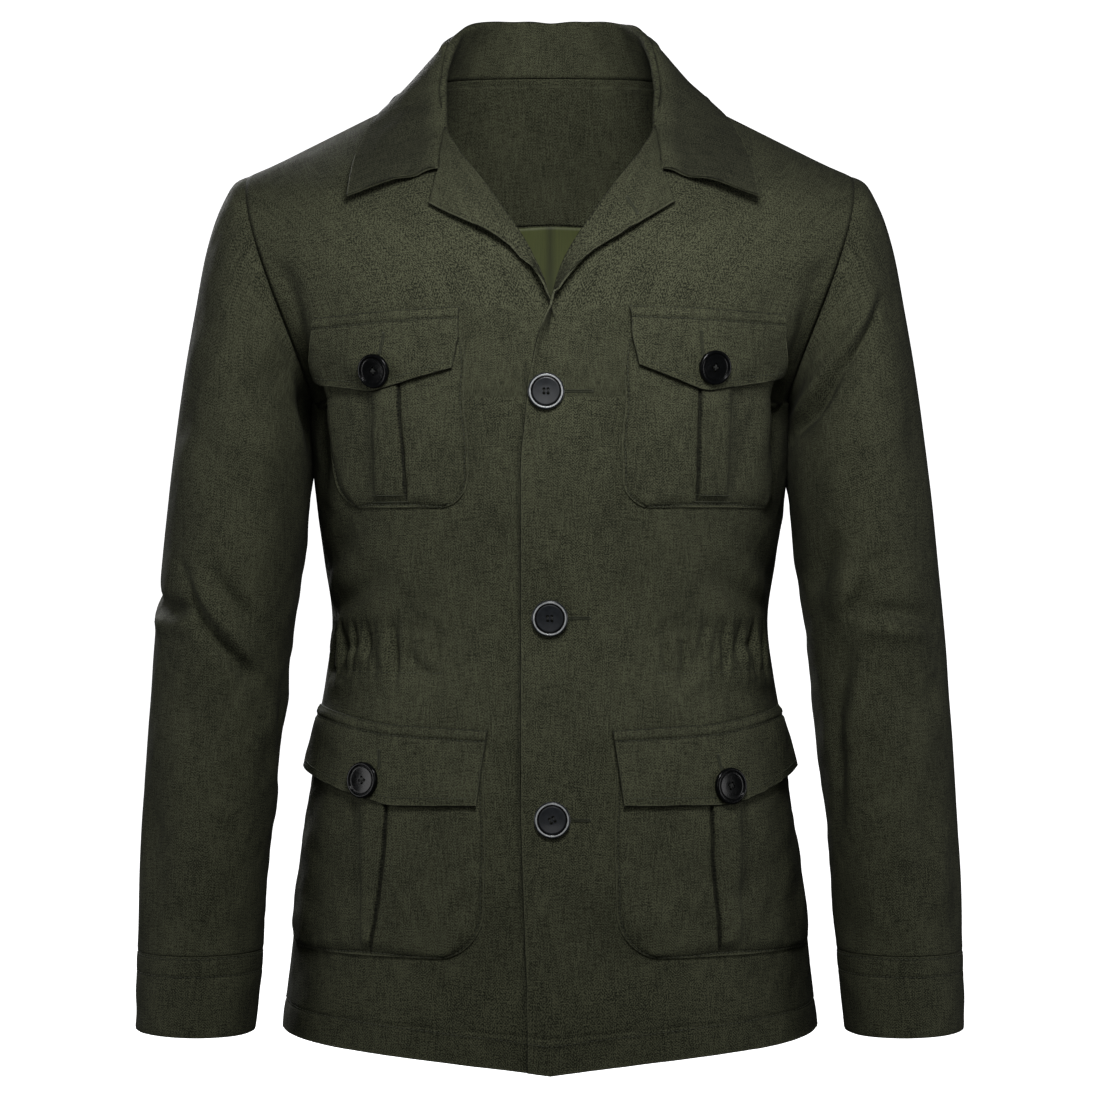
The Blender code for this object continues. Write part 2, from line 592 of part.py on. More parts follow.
def front_columns():
    """Shares of a front's width: even steps, with two to each gather along the elastic."""
    u = np.linspace(0, 1, 401)
    waist = front(u, v_of_level(np.array(-0.405)))
    arc = np.concatenate([[0], np.cumsum(np.linalg.norm(np.diff(waist, axis=0), axis=1))])
    stops = np.concatenate(
        [
            np.linspace(0, GATHER_START, FRONT_STEPS + 1)[:-1],
            np.linspace(GATHER_START, GATHER_END, GATHER_STEPS + 1),
            np.linspace(GATHER_END, arc[-1], SIDE_STEPS + 1)[1:],
        ]
    )
    return np.interp(stops, arc, u), np.where((stops > GATHER_START) & (stops < GATHER_END), stops, 0)


def gathered(points, stops):
    """The front with its waist drawn in between the gathers' crests."""
    wave = 0.5 - 0.5 * np.cos(2 * math.pi * GATHERS * (stops - GATHER_START) / (GATHER_END - GATHER_START))
    depth = read(GATHER_DEPTH, "depth", points[..., 2]) * np.where(stops > 0, wave, 0)
    out = points * (1, 1, 0)
    out /= np.maximum(np.linalg.norm(out, axis=-1, keepdims=True), 1e-9)
    return points - out * depth[..., None]


def tree_of(sheets):
    """The outer faces of some pieces, to lay others on."""
    points, faces = [], []
    for sheet in sheets:
        faces += [[len(points) + k for k in face] for face in sheet.faces]
        points += [tuple(p) for p in sheet.points]
    return BVHTree.FromPolygons(points, faces)


def chest_tree():
    """The chest's outer face as a close mesh, on which the lapels and collar lie."""
    u, v = np.linspace(0, 1, 70), np.linspace(0.9, 2, 110)
    grids = [front(u[None], v[:, None]), back(u[None], v[:, None])[:, ::-1]]
    points = np.concatenate([g.reshape(-1, 3) for g in grids])
    faces = []
    for start in (0, grids[0][..., 0].size):
        for r in range(len(v) - 1):
            for c in range(len(u) - 1):
                k = start + r * len(u) + c
                faces.append((k, k + 1, k + len(u) + 1, k + len(u)))
    return BVHTree.FromPolygons([tuple(p) for p in points], faces)


def on_chest(tree, x, z, lift):
    """The chest's point at x and z, seen from the front, and stood off by the lift."""
    place, out, _, _ = tree.ray_cast(Vector((x, -1, z)), Vector((0, 1, 0)))
    return np.array(place + out * lift)


def past_centre(row, distances):
    """Points past the centre line, over where the opposite front lies."""
    y, z = (np.interp(distances, row[:, 0], row[:, axis]) for axis in (1, 2))
    return np.stack([-np.asarray(distances), y, z], axis=-1)


def lapel_row(tree, lapel, v, row, out):
    """The strip from the roll line to the free edge at one level, both lying flat and turned over, and
    between."""
    turned = float(np.clip(read(lapel, "turned", v), 0, 1))
    root = row[0]
    flat = past_centre(row, read(lapel, "flat", v) * np.linspace(0, 1, LAPEL_STEPS + 1))
    flat[0] = root
    free = on_chest(tree, read(lapel, "x", v), read(lapel, "z", v), read(lapel, "lift", v))
    back_over = free - root - out * ((free - root) @ out)
    back_over /= np.linalg.norm(back_over)
    beta = np.linspace(0, math.pi, ROLL_STEPS + 1)[:, None]
    arc = root - back_over * ROLL_RADIUS * np.sin(beta) + out * ROLL_RADIUS * (1 - np.cos(beta))
    shares = (1 / 3, 2 / 3, 1)
    if v > 1.83:
        notch = on_chest(tree, NOTCH_X, NOTCH_Z, 0.004)
        leaf = [(arc[-1] + notch) / 2, notch, free]
    else:
        leaf = [arc[-1] + (free - arc[-1]) * share for share in shares]
    over = np.concatenate([arc, leaf])
    swell = math.sin(math.pi * turned) * 0.45 * OVERLAP * np.linspace(0, 1, LAPEL_STEPS + 1)[:, None]
    return flat * (1 - turned) + over * turned + out * swell


WIDE_FROM, WIDE_TO, V_LEVEL = -0.50, -0.28, -0.21  # the upper front is widest between the first two levels
UNDERLAP_NEAR, UNDERLAP_FAR = 0.028, 0.055  # where the under front starts and stops coming forward again


def front_sheet(tree, side, columns, stops):
    """One front with its lapel, as it lies on the wearer's left. The under one is moved back at the centre."""
    rows = panel_rows()
    body = gathered(front(columns[None], rows[:, None]), stops[None])
    lapel = UPPER_LAPEL if side > 0 else UNDER_LAPEL
    narrower = smooth_step(WIDE_FROM, HEM_Z, body[:, 0, 2]) + smooth_step(WIDE_TO, V_LEVEL, body[:, 0, 2])
    width = OVERLAP - (UPPER_NARROWING * narrower if side > 0 else 0 * narrower)
    points = np.zeros((len(rows), LAPEL_STEPS + len(columns), 3))
    points[:, LAPEL_STEPS:] = body
    last = len(SIDE_LEVELS) - 1 + ROLL_END_STEP
    for r in range(last + 1):
        root = body[r, 0]
        along = body[r, 1] - root
        up = body[min(r + 1, len(rows) - 1), 0] - root
        out = np.cross(along, up)
        out /= np.linalg.norm(out)
        if rows[r] < lapel["v"][0]:
            strip = np.array([root] * LAPEL_STEPS + [past_centre(body[r], width[r])])
        else:
            strip = lapel_row(tree, lapel, rows[r], body[r], out)
        points[r, :LAPEL_STEPS] = strip[:0:-1]
    if side < 0:
        near = 1 - smooth_step(UNDERLAP_NEAR, UNDERLAP_FAR, points[..., 0])
        level = 1 - smooth_step(V_AT + 0.01, V_AT + 0.12, rows)[:, None]
        points[..., 1] += UNDERLAP_DEPTH * near * level
    shown = np.ones((len(rows) - 1, points.shape[1] - 1), bool)
    shown[last:, :LAPEL_STEPS] = False
    return points, shown, points[last, LAPEL_STEPS::-1]


# ---- The collar ----
def collar_half(tree, lapel_top, neck, spread):
    """Sections from the nape round to the notch on the wearer's left. Each runs from the neck seam up the stand,
    over the crease and down the fall. The last ones hang from the lapel's upper edge and have only a fall."""
    steps = len(COLLAR["keys"])
    creases = np.stack([COLLAR[f"{axis}_crease"] for axis in "xyz"], axis=-1)
    edges = np.stack([COLLAR[f"{axis}_edge"] for axis in "xyz"], axis=-1)
    edges[:, 0] += spread * smooth_step(3, steps - 1, np.arange(steps))
    ends = steps - 2
    points = np.zeros((steps, STAND_STEPS + ROLL_STEPS + FALL_STEPS + 1, 3))
    for j in range(steps):
        if j < ends - 1:
            seam, crease = neck[j], creases[j]
            ahead = creases[j + 1] - (creases[j - 1] if j else creases[1] * (-1, 1, 1))
            rise = (crease - seam) / np.linalg.norm(crease - seam)
            out = np.cross(rise, ahead)
            out /= np.linalg.norm(out)
            beta = np.linspace(0, math.pi, ROLL_STEPS + 1)[:, None]
            arc = crease + rise * ROLL_RADIUS * np.sin(beta) + out * ROLL_RADIUS * (1 - np.cos(beta))
            stand = [seam + (crease - seam) * k / STAND_STEPS for k in range(STAND_STEPS)]
        else:
            hang = lapel_top[ROLL_STEPS + max(j - ends + 1, 0)]
            arc = lapel_top[: ROLL_STEPS + 1] if j == ends - 1 else np.array([hang] * (ROLL_STEPS + 1))
            stand = [arc[0]] * STAND_STEPS
            out = np.array((0.5, -0.6, 0.6))
        share = np.linspace(0, 1, FALL_STEPS + 1)[1:, None]
        fall = arc[-1] + (edges[j] - arc[-1]) * share + out * COLLAR_SWELL * np.sin(math.pi * share**0.6)
        points[j] = np.concatenate([stand, arc, [clear(tree, p) for p in fall]])
    return points


def clear(tree, point):
    """The point, moved off the body where it lies closer than the collar may."""
    place, out, _, _ = tree.find_nearest(Vector(point))
    place, out = np.array(place), np.array(out)
    gap = (point - place) @ out
    return point if gap > COLLAR_LIFT else point + out * (COLLAR_LIFT - gap)


def collar_sheet(tree, lapel_tops):
    neck = list(neck_and_shoulder(np.linspace(0, NECK_SHARE, NECK_STEPS + 1)))
    between = 1 + (ROLL_END_STEP + 1) / ARMHOLE_STEPS
    neck += [front(0, between)]
    spreads = {1: LEFT_COLLAR_SPREAD, -1: 0}
    halves = {side: collar_half(tree, lapel_tops[side], neck, spreads[side]) for side in (1, -1)}
    points = np.concatenate([(halves[-1] * (-1, 1, 1))[:0:-1], halves[1]])
    ends = 2
    shown = np.ones((len(points) - 1, points.shape[1] - 1), bool)
    shown[:ends, : STAND_STEPS + ROLL_STEPS] = False
    shown[-ends:, : STAND_STEPS + ROLL_STEPS] = False
    return points, shown


# ---- Back, facing and lining ----
def back_grid():
    half = np.concatenate(
        [np.linspace(0, NECK_SHARE, NECK_STEPS + 1), np.linspace(NECK_SHARE, 1, SHOULDER_STEPS + 1)[1:]]
    )
    left = back(half[None], panel_rows()[:, None])
    return np.concatenate([left[:, :0:-1], left * (-1, 1, 1)], axis=1)


def inside(points, rows, columns, depth):
    """Part of the back's points, moved inwards."""
    sheet = Sheet("guide", points, CLOTH, "lining")
    lookup = {tuple(np.round(p, 6)): n for p, n in zip(sheet.points, sheet.normals)}
    part = points[list(rows), columns]
    flat = part.reshape(-1, 3)
    normals = np.array([lookup[tuple(np.round(p, 6))] for p in flat])
    return (flat - normals * depth).reshape(part.shape)


# ---- What is sewn on the fronts ----
def pocket(shape, outer_steps):
    """A patch pocket with a box pleat: a grid from its lower edge up, and the cloth's thickness at each
    point."""
    levels = np.union1d(shape["z"], [z for z in BODY_LEVELS if shape["z"][0] < z < shape["z"][-1]])
    levels = levels[np.diff(levels, prepend=-1) > 0.002]
    inner, outer, pleat_in, pleat_out = (
        np.interp(levels, shape["z"], shape[name])[:, None]
        for name in ("inner", "outer", "pleat_in", "pleat_out")
    )
    first, last = np.linspace(0, 1, 4)[:-1], np.linspace(0, 1, outer_steps + 1)[1:]
    s = np.concatenate(
        [
            inner + (pleat_in - PLEAT_FOLD - inner) * first,
            pleat_in - PLEAT_FOLD,
            pleat_in + PLEAT_FOLD,
            (pleat_in + pleat_out) / 2,
            pleat_out - PLEAT_FOLD,
            pleat_out + PLEAT_FOLD,
            pleat_out + PLEAT_FOLD + (outer - pleat_out - PLEAT_FOLD) * last,
        ],
        axis=1,
    )
    rise = np.zeros(s.shape)
    rise[:, 4:7] = PLEAT_RISE
    points, _ = on_front(s, levels[:, None], POCKET_LIFT + POCKET_PLY + rise)
    return points, POCKET_PLY + rise


FLAP_SIDE_FALL = 0.35  # how much less a flap stands off at its outer side, as a share
CHEST_STEPS, HIP_STEPS = 5, 8  # columns of a pocket or flap out from its pleat or point
CHEST_CORNER_LIFT, HIP_CORNER_LIFT = 0.001, 0.0035  # how far a flap's outer lower corner stands off


def flap(shape, outer_steps, corner_lift):
    """A pocket flap, a grid from its free edge up to the seam that it hangs from."""
    point = shape["across"][1]
    across = np.concatenate([np.linspace(0, point, 5), np.linspace(point, 1, outer_steps + 1)[1:]])
    share = FLAP_DROP["share"][:, None]
    s, z = (
        np.interp(across, shape["across"], shape[f"{axis}_low"]) * (1 - share)
        + np.interp(across, shape["across"], shape[f"{axis}_high"]) * share
        for axis in "sz"
    )
    lift = FLAP_DROP["lift"][:, None] * (1 - FLAP_SIDE_FALL * across**2)
    lift = lift + corner_lift * across**3 * (1 - share) ** 1.5
    points, _ = on_front(s, z, POCKET_LIFT + FLAP_PLY + lift)
    return points


def button(name, tree, seat, out, radius):
    """A round button's body: a raised rim round a shallow dish, turned about its own axis. It rests on the
    highest place that it covers."""
    axis = Vector(out).normalized()
    across = axis.cross(Vector((0, 0, 1))).normalized()
    up = across.cross(axis)
    angles = [2 * math.pi * k / BUTTON_SIDES for k in range(BUTTON_SIDES)]
    spokes = [across * math.cos(angle) + up * math.sin(angle) for angle in angles]
    reach = 0.03
    above = Vector(seat) + axis * reach
    hits = [
        tree.ray_cast(above + spoke * radius * share, -axis)[3] for spoke in spokes for share in (0, 0.6, 1)
    ]
    foot = above - axis * (min(hit for hit in hits if hit) - SEAM_GAP)
    points = [
        foot + spoke * radius * share + axis * height for share, height in BUTTON_PROFILE for spoke in spokes
    ]
    count = len(BUTTON_PROFILE)
    low, high = len(points), len(points) + 1
    points += [foot, foot + axis * BUTTON_DISH]
    faces = []
    for k in range(BUTTON_SIDES):
        n = (k + 1) % BUTTON_SIDES
        faces.append((low, k, n))
        faces.append((high, (count - 1) * BUTTON_SIDES + n, (count - 1) * BUTTON_SIDES + k))
        for r in range(count - 1):
            a, b = r * BUTTON_SIDES, (r + 1) * BUTTON_SIDES
            faces.append((a + n, a + k, b + k, b + n))
    solid(name, points, faces, "button")


POCKET_BUTTONS = (("chest", CHEST_BUTTONS, CHEST_BUTTON_RADIUS), ("hip", HIP_BUTTONS, BUTTON_RADIUS))


def buttons(tree):
    for number, (s, z) in enumerate(FRONT_BUTTONS, 1):
        side = math.copysign(1, s)
        seat, out = on_front(np.array(abs(s)), np.array(z), 0)
        button(f"button_front_{number}", tree, seat * (side, 1, 1), out * (side, 1, 1), BUTTON_RADIUS)
    for side, word in ((1, "left"), (-1, "right")):
        for where, places, radius in POCKET_BUTTONS:
            s, z = places[side]
            seat, out = on_front(np.array(s), np.array(z), 0)
            button(f"button_{where}_{word}", tree, seat * (side, 1, 1), out * (side, 1, 1), radius)


def main():
    for obj in list(bpy.data.objects):
        bpy.data.objects.remove(obj)
    tree = chest_tree()
    columns, stops = front_columns()
    sheets, lapel_tops = [], {}
    for side, word in ((1, "left"), (-1, "right")):
        points, shown, lapel_tops[side] = front_sheet(tree, side, columns, stops)
        if side < 0:
            points, shown = mirrored(points), shown[:, ::-1]
        sheets.append(Sheet(f"front_{word}", points, CLOTH, "body cloth", shown))
        turns = np.linspace(0, 360, 2 * ARMHOLE_STEPS + 1)
        cuff_rings = np.arange(CUFF_RING, END_RING + 1)
        for name, rings in (("sleeve", np.array(SLEEVE_RINGS)), ("cuff", cuff_rings)):
            points = sleeve(turns[None], rings[:, None])
            points = points if side > 0 else mirrored(points)
            sheets.append(Sheet(f"{name}_{word}", points, CLOTH, "sleeve cloth"))
    whole_back = back_grid()
    sheets.append(Sheet("back", whole_back, CLOTH, "body cloth"))
    points, shown = collar_sheet(tree, lapel_tops)
    sheets.append(Sheet("collar", points, COLLAR_PLY, "body cloth", shown))
    shared, shoulder = shared_normals(sheets)
    for sheet in sheets:
        sheet.build(shared, shoulder)

    underarm_row = len(SIDE_LEVELS) - 1
    facing_row = underarm_row + FACING_STEP
    lining_rows = [*range(LINING_ROW, underarm_row, 2), *range(underarm_row, underarm_row + 3)]
    lining_rows += [underarm_row + 5, facing_row]
    middle, depth = NECK_STEPS + SHOULDER_STEPS, CLOTH + SEAM_GAP * 2
    for name, rows, colour in (
        ("back_neck_facing", range(facing_row, len(whole_back) - 1), "body cloth"),
        ("back_lining", lining_rows, "lining"),
    ):
        points = inside(whole_back, rows, slice(middle - LINING_COLUMNS, middle + LINING_COLUMNS + 1), depth)
        Sheet(name, points, LINING_PLY, colour).build()

    outer = [sheet for sheet in sheets if sheet.name.startswith("front")]
    for side, word in ((1, "left"), (-1, "right")):
        pieces = [
            (f"chest_pocket_{word}", *pocket(CHEST_POCKET[side], CHEST_STEPS)),
            (f"hip_pocket_{word}", *pocket(HIP_POCKET[side], HIP_STEPS)),
            (f"chest_flap_{word}", flap(CHEST_FLAP[side], CHEST_STEPS, CHEST_CORNER_LIFT), FLAP_PLY),
            (f"hip_flap_{word}", flap(HIP_FLAP[side], HIP_STEPS, HIP_CORNER_LIFT), FLAP_PLY),
        ]
        for name, points, ply in pieces:
            if side < 0:
                points, ply = mirrored(points), np.broadcast_to(ply, points.shape[:2])[:, ::-1]
            outer.append(Sheet(name, points, ply, "body cloth"))
            outer[-1].build()
    buttons(tree_of(outer))


main()
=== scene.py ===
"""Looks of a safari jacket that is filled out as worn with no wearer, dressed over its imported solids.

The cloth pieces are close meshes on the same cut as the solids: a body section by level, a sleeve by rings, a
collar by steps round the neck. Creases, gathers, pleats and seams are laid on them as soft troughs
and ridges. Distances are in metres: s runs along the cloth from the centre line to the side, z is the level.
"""

import functools
import math

import bpy
import numpy as np
from bpy.props import FloatProperty, FloatVectorProperty, PointerProperty
from mathutils import Matrix, Vector
from mathutils.bvhtree import BVHTree


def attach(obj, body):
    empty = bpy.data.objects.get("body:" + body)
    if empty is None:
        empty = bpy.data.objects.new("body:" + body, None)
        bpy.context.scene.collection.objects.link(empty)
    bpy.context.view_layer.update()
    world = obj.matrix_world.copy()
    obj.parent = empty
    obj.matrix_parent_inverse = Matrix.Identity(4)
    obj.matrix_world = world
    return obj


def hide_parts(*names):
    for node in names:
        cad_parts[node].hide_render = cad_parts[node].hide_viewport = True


bl_info = {
    "name": "Safari jacket looks",
    "version": (1, 0, 0),
    "blender": (4, 5, 0),
    "location": "View3D > Sidebar > Jacket",
    "description": "Makes the cloth, sewing, buttons and stage of a safari jacket over its packed solids",
    "category": "Object",
}

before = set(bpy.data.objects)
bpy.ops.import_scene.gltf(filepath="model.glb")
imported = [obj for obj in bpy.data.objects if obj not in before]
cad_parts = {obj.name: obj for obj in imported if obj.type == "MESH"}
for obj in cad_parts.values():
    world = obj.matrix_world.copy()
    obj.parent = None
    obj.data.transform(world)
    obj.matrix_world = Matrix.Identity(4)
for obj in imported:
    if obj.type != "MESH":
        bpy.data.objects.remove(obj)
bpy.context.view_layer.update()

# ---- Driving sizes of the cut, as in the solids ----
HEM_Z = -0.692
UNDERARM = np.array((0.178, 0.0, -0.225))
SHOULDER_TIP = np.array((0.224, 0.0, -0.054))
NECK_POINT = np.array((0.082, 0.0, 0.017))
NAPE_Y, NAPE_Z = 0.066, 0.030
FRONT_HEM_DIP, SIDE_HEM_RISE = 0.0162, 0.0040
ARMHOLE_FRONT, ARMHOLE_BACK, ARMHOLE_BULGE, ARMHOLE_LEAN = 0.062, 0.066, 0.0045, 0.0040
CLOTH, COLLAR_PLY, FLAP_PLY, POCKET_PLY, LINING_PLY = 0.0016, 0.0020, 0.0022, 0.0012, 0.0010
SEAM_GAP = 0.0003
ROLL_RADIUS = 0.0012
OVERLAP, UPPER_NARROWING, UNDERLAP_DEPTH = 0.0213, 0.0050, 0.0023
PLEAT_FOLD, POCKET_LIFT = 0.0006, 0.0010
COLLAR_LIFT, COLLAR_SWELL, COLLAR_HOLLOW, LEFT_COLLAR_SPREAD = 0.0042, 0.0030, 0.0036, 0.0045
NOTCH_X, NOTCH_Z = 0.0800, -0.0615
NECK_SHARE = 0.33
V_AT = 1 + 5 / 12  # where the two fronts part, along v
ROLL_END = 1 + 10 / 12  # where the lapel ends and the collar begins
ROLL_SHARE = 0.14  # the part of a lapel's width that is its roll
FACING_END = 1 + 7 / 12  # the back neck facing's lower edge


def table(names, *rows):
    """Rows of named columns. The first column rises, and the others are read along it."""
    columns = np.array(rows, float).T
    return dict(zip(names.split(), columns), keys=columns[0])


def read(rows, name, at):
    """One column of a table, read smoothly between its rows."""
    keys, values = rows["keys"], rows[name]
    slopes = np.gradient(values, keys)
    at = np.clip(at, keys[0], keys[-1])
    i = np.clip(np.searchsorted(keys, at) - 1, 0, len(keys) - 2)
    step = keys[i + 1] - keys[i]
    t = (at - keys[i]) / step
    start = (1 + 2 * t) * (1 - t) ** 2 * values[i] + t * (1 - t) ** 2 * step * slopes[i]
    end = t * t * (3 - 2 * t) * values[i + 1] + t * t * (t - 1) * step * slopes[i + 1]
    return start + end


def smooth_step(start, end, at):
    """A rise from 0 at the start to 1 at the end, level at both."""
    t = np.clip((at - start) / (end - start), 0, 1)
    return t * t * (3 - 2 * t)


def bell(distance, width):
    """A soft bump: 1 at no distance, and almost 0 past two widths."""
    return np.exp(-((distance / width) ** 2))


def arc_of(line):
    """How far along a line of points each of them lies."""
    return np.concatenate([[0], np.cumsum(np.linalg.norm(np.diff(line, axis=0), axis=1))])


def arcs_of(points, axis=1):
    """The same, for each row or column of a grid of points."""
    steps = np.linalg.norm(np.diff(points, axis=axis), axis=2)
    zero = np.zeros_like(np.take(steps, [0], axis=axis))
    return np.cumsum(np.concatenate([zero, steps], axis=axis), axis=axis)


def point_along(arc, line, at):
    """Points read along a line, at distances from its start."""
    return np.stack([np.interp(at, arc, line[:, axis]) for axis in range(3)], axis=1)


def size(name):
    """A size of the panel, without the noise of its single precision."""
    return round(getattr(bpy.context.scene.jacket_sizes, name), 6)


# Half width at the side seams and the depth in front and behind, by level.
BODY = table(
    "z x_side y_front y_back",
    (-0.692, 0.2, -0.122, 0.128),
    (-0.641, 0.194, -0.124, 0.132),
    (-0.581, 0.187, -0.124, 0.131),
    (-0.521, 0.179, -0.122, 0.122),
    (-0.461, 0.1715, -0.118, 0.11),
    (-0.431, 0.166, -0.115, 0.103),
    (-0.386, 0.1608, -0.112, 0.098),
    (-0.341, 0.167, -0.118, 0.102),
    (-0.281, 0.1755, -0.127, 0.113),
    (-0.225, 0.178, -0.13, 0.121),
    (-0.15, 0.178, -0.1285, 0.125),
)
# The fullness of a level's section in front and behind, and how many degrees of its quarter it runs through.
SECTION = table(
    "v front back front_end back_end",
    (0, 2.3, 2.3, 90, 90),
    (1, 2.3, 2.3, 90, 90),
    (1.083, 2.3, 2.3, 84.8, 84),
    (1.167, 2.3, 2.3, 78.9, 77.5),
    (1.25, 2.3, 2.3, 73.4, 71.4),
    (1.333, 2.2, 2.3, 69, 66),
    (1.417, 2.1, 2.3, 66, 62),
    (1.6, 1.8, 2.2, 64, 60),
    (1.8, 1.4, 1.9, 64, 60),
    (2, 1, 1.6, 64, 60),
)
ROLL_LINE = table(
    "share x y z",
    (0 / 7, 0.004, -0.1285, -0.1616),
    (1 / 7, 0.0135, -0.1225, -0.127),
    (2 / 7, 0.0316, -0.111, -0.0962),
    (3 / 7, 0.0489, -0.0955, -0.0708),
    (4 / 7, 0.0658, -0.076, -0.0476),
    (5 / 7, 0.077, -0.052, -0.0266),
    (6 / 7, 0.0812, -0.024, -0.002),
    (7 / 7, 0.082, 0, 0.017),
)
# The lapels' free edges on the chest, how far they stand off it, and how far each is turned over.
UPPER_LAPEL = table(
    "v x z lift turned flat",
    (1.25, 0.006, -0.2, 0.004, 0, 0.013),
    (1.333, 0.0088, -0.18, 0.005, 0.18, 0.0125),
    (1.417, 0.0165, -0.1535, 0.006, 0.56, 0.0125),
    (1.5, 0.0325, -0.125, 0.006, 0.93, 0.019),
    (1.583, 0.05, -0.1115, 0.006, 1, 0.0215),
    (1.667, 0.0655, -0.1015, 0.006, 1, 0.0215),
    (1.75, 0.078, -0.0935, 0.005, 1, 0.0215),
    (1.833, 0.0887, -0.0862, 0.004, 1, 0.0215),
)
UNDER_LAPEL = table(
    "v x z lift turned flat",
    (1.25, 0.006, -0.2, 0.003, 0, 0.018),
    (1.333, 0.006, -0.1813, 0.003, 0, 0.011),
    (1.417, 0.0085, -0.156, 0.003, 0.25, 0.0028),
    (1.5, 0.021, -0.127, 0.004, 1, 0.0028),
    (1.583, 0.0375, -0.1135, 0.006, 1, 0.0028),
    (1.667, 0.056, -0.1035, 0.006, 1, 0.0028),
    (1.75, 0.0725, -0.0955, 0.005, 1, 0.0028),
    (1.833, 0.0861, -0.0877, 0.004, 1, 0.0028),
)
NAPE = table(
    "v y z",
    (1, 0.121, -0.225),
    (1.2, 0.1255, -0.188),
    (1.4, 0.123, -0.135),
    (1.583, 0.113, -0.0777),
    (1.8, 0.093, -0.025),
    (2, NAPE_Y, NAPE_Z),
)
# The collar's crease and its outer edge, from the nape round to the front corner.
COLLAR = table(
    "step x_crease y_crease z_crease x_edge y_edge z_edge",
    (0, 0, 0.065, 0.07, 0, 0.088, 0.006),
    (1, 0.0205, 0.0615, 0.0698, 0.03, 0.086, 0.0055),
    (2, 0.04, 0.051, 0.068, 0.058, 0.076, 0.0045),
    (3, 0.0555, 0.035, 0.0636, 0.08, 0.057, 0.003),
    (4, 0.067, 0.015, 0.0548, 0.1, 0.031, 0.002),
    (5, 0.0745, -0.005, 0.0365, 0.116, 0, 0.0012),
    (6, 0.0785, -0.029, 0.0055, 0.1335, -0.036, -0.022),
    (7, 0.077, -0.052, -0.0266, 0.142, -0.062, -0.046),
    (8, 0.0785, -0.07, -0.044, 0.145, -0.08, -0.064),
    (9, 0.08, -0.09, -0.0615, 0.1465, -0.093, -0.08),
)
# The collar's steps at the shoulder seam, the lapel's top and the notch.
COLLAR_NECK_END, COLLAR_GORGE, COLLAR_END = 5, 7, 9
SLEEVE = table(
    "ring z_out x_out z_in x_in y_front y_back bulge lean",
    (0, -0.054, 0.224, -0.225, 0.178, -0.062, 0.066, 0.0045, 0.004),
    (0.5, -0.0592, 0.2347, -0.228, 0.179, -0.0655, 0.0685, 0.004, 0.003),
    (1, -0.073, 0.2433, -0.231, 0.1798, -0.068, 0.07, 0.003, 0.002),
    (2, -0.108, 0.256, -0.24, 0.1805, -0.073, 0.073, 0.0015, 0.0005),
    (3, -0.155, 0.265, -0.255, 0.1802, -0.077, 0.074, 0, 0),
    (4, -0.205, 0.2732, -0.275, 0.1797, -0.08, 0.072, 0, 0),
    (5, -0.262, 0.2805, -0.303, 0.1814, -0.0815, 0.068, 0, 0),
    (6, -0.315, 0.2862, -0.335, 0.1838, -0.082, 0.062, 0, 0),
    (7, -0.35, 0.2895, -0.362, 0.187, -0.081, 0.057, 0, 0),
    (8, -0.38, 0.2922, -0.388, 0.19, -0.08, 0.052, 0, 0),
    (9, -0.41, 0.2946, -0.414, 0.1928, -0.0795, 0.047, 0, 0),
    (10, -0.44, 0.2962, -0.442, 0.1956, -0.0795, 0.042, 0, 0),
    (11, -0.475, 0.2984, -0.476, 0.1988, -0.0805, 0.034, 0, 0),
    (12, -0.525, 0.3006, -0.525, 0.2035, -0.083, 0.024, 0, 0),
    (13, -0.577, 0.3024, -0.577, 0.2085, -0.086, 0.016, 0, 0),
    (14, -0.627, 0.3034, -0.627, 0.2115, -0.089, 0.009, 0, 0),
    (15, -0.656, 0.3037, -0.656, 0.214, -0.0915, 0.004, 0, 0),
    (16, -0.6845, 0.3035, -0.6865, 0.2172, -0.094, -0.001, 0, 0),
)
CUFF_RING, END_RING = 14, 16
CHEST_POCKET = {
    1: table(
        "z inner outer pleat_in pleat_out",
        (-0.3035, 0.074, 0.169, 0.107, 0.1325),
        (-0.2925, 0.059, 0.181, 0.1072, 0.1328),
        (-0.283, 0.0545, 0.186, 0.1074, 0.1331),
        (-0.225, 0.0534, 0.185, 0.1088, 0.1348),
        (-0.19, 0.0534, 0.174, 0.1096, 0.1356),
        (-0.18, 0.056, 0.17, 0.1096, 0.1356),
    ),
    -1: table(
        "z inner outer pleat_in pleat_out",
        (-0.3035, 0.077, 0.147, 0.104, 0.13),
        (-0.2925, 0.068, 0.158, 0.1045, 0.1303),
        (-0.283, 0.0625, 0.165, 0.105, 0.1306),
        (-0.225, 0.0612, 0.186, 0.1095, 0.1321),
        (-0.19, 0.0612, 0.176, 0.1104, 0.133),
        (-0.18, 0.064, 0.171, 0.1104, 0.133),
    ),
}
HIP_POCKET = {
    1: table(
        "z inner outer pleat_in pleat_out",
        (-0.625, 0.08, 0.213, 0.124, 0.14),
        (-0.619, 0.064, 0.23, 0.1235, 0.141),
        (-0.608, 0.052, 0.238, 0.123, 0.1415),
        (-0.565, 0.0464, 0.239, 0.1195, 0.1425),
        (-0.486, 0.0475, 0.212, 0.1165, 0.1428),
    ),
    -1: table(
        "z inner outer pleat_in pleat_out",
        (-0.625, 0.08, 0.213, 0.132, 0.139),
        (-0.619, 0.064, 0.23, 0.131, 0.1395),
        (-0.608, 0.052, 0.238, 0.129, 0.14),
        (-0.565, 0.0464, 0.239, 0.123, 0.1412),
        (-0.486, 0.0475, 0.212, 0.118, 0.1425),
    ),
}
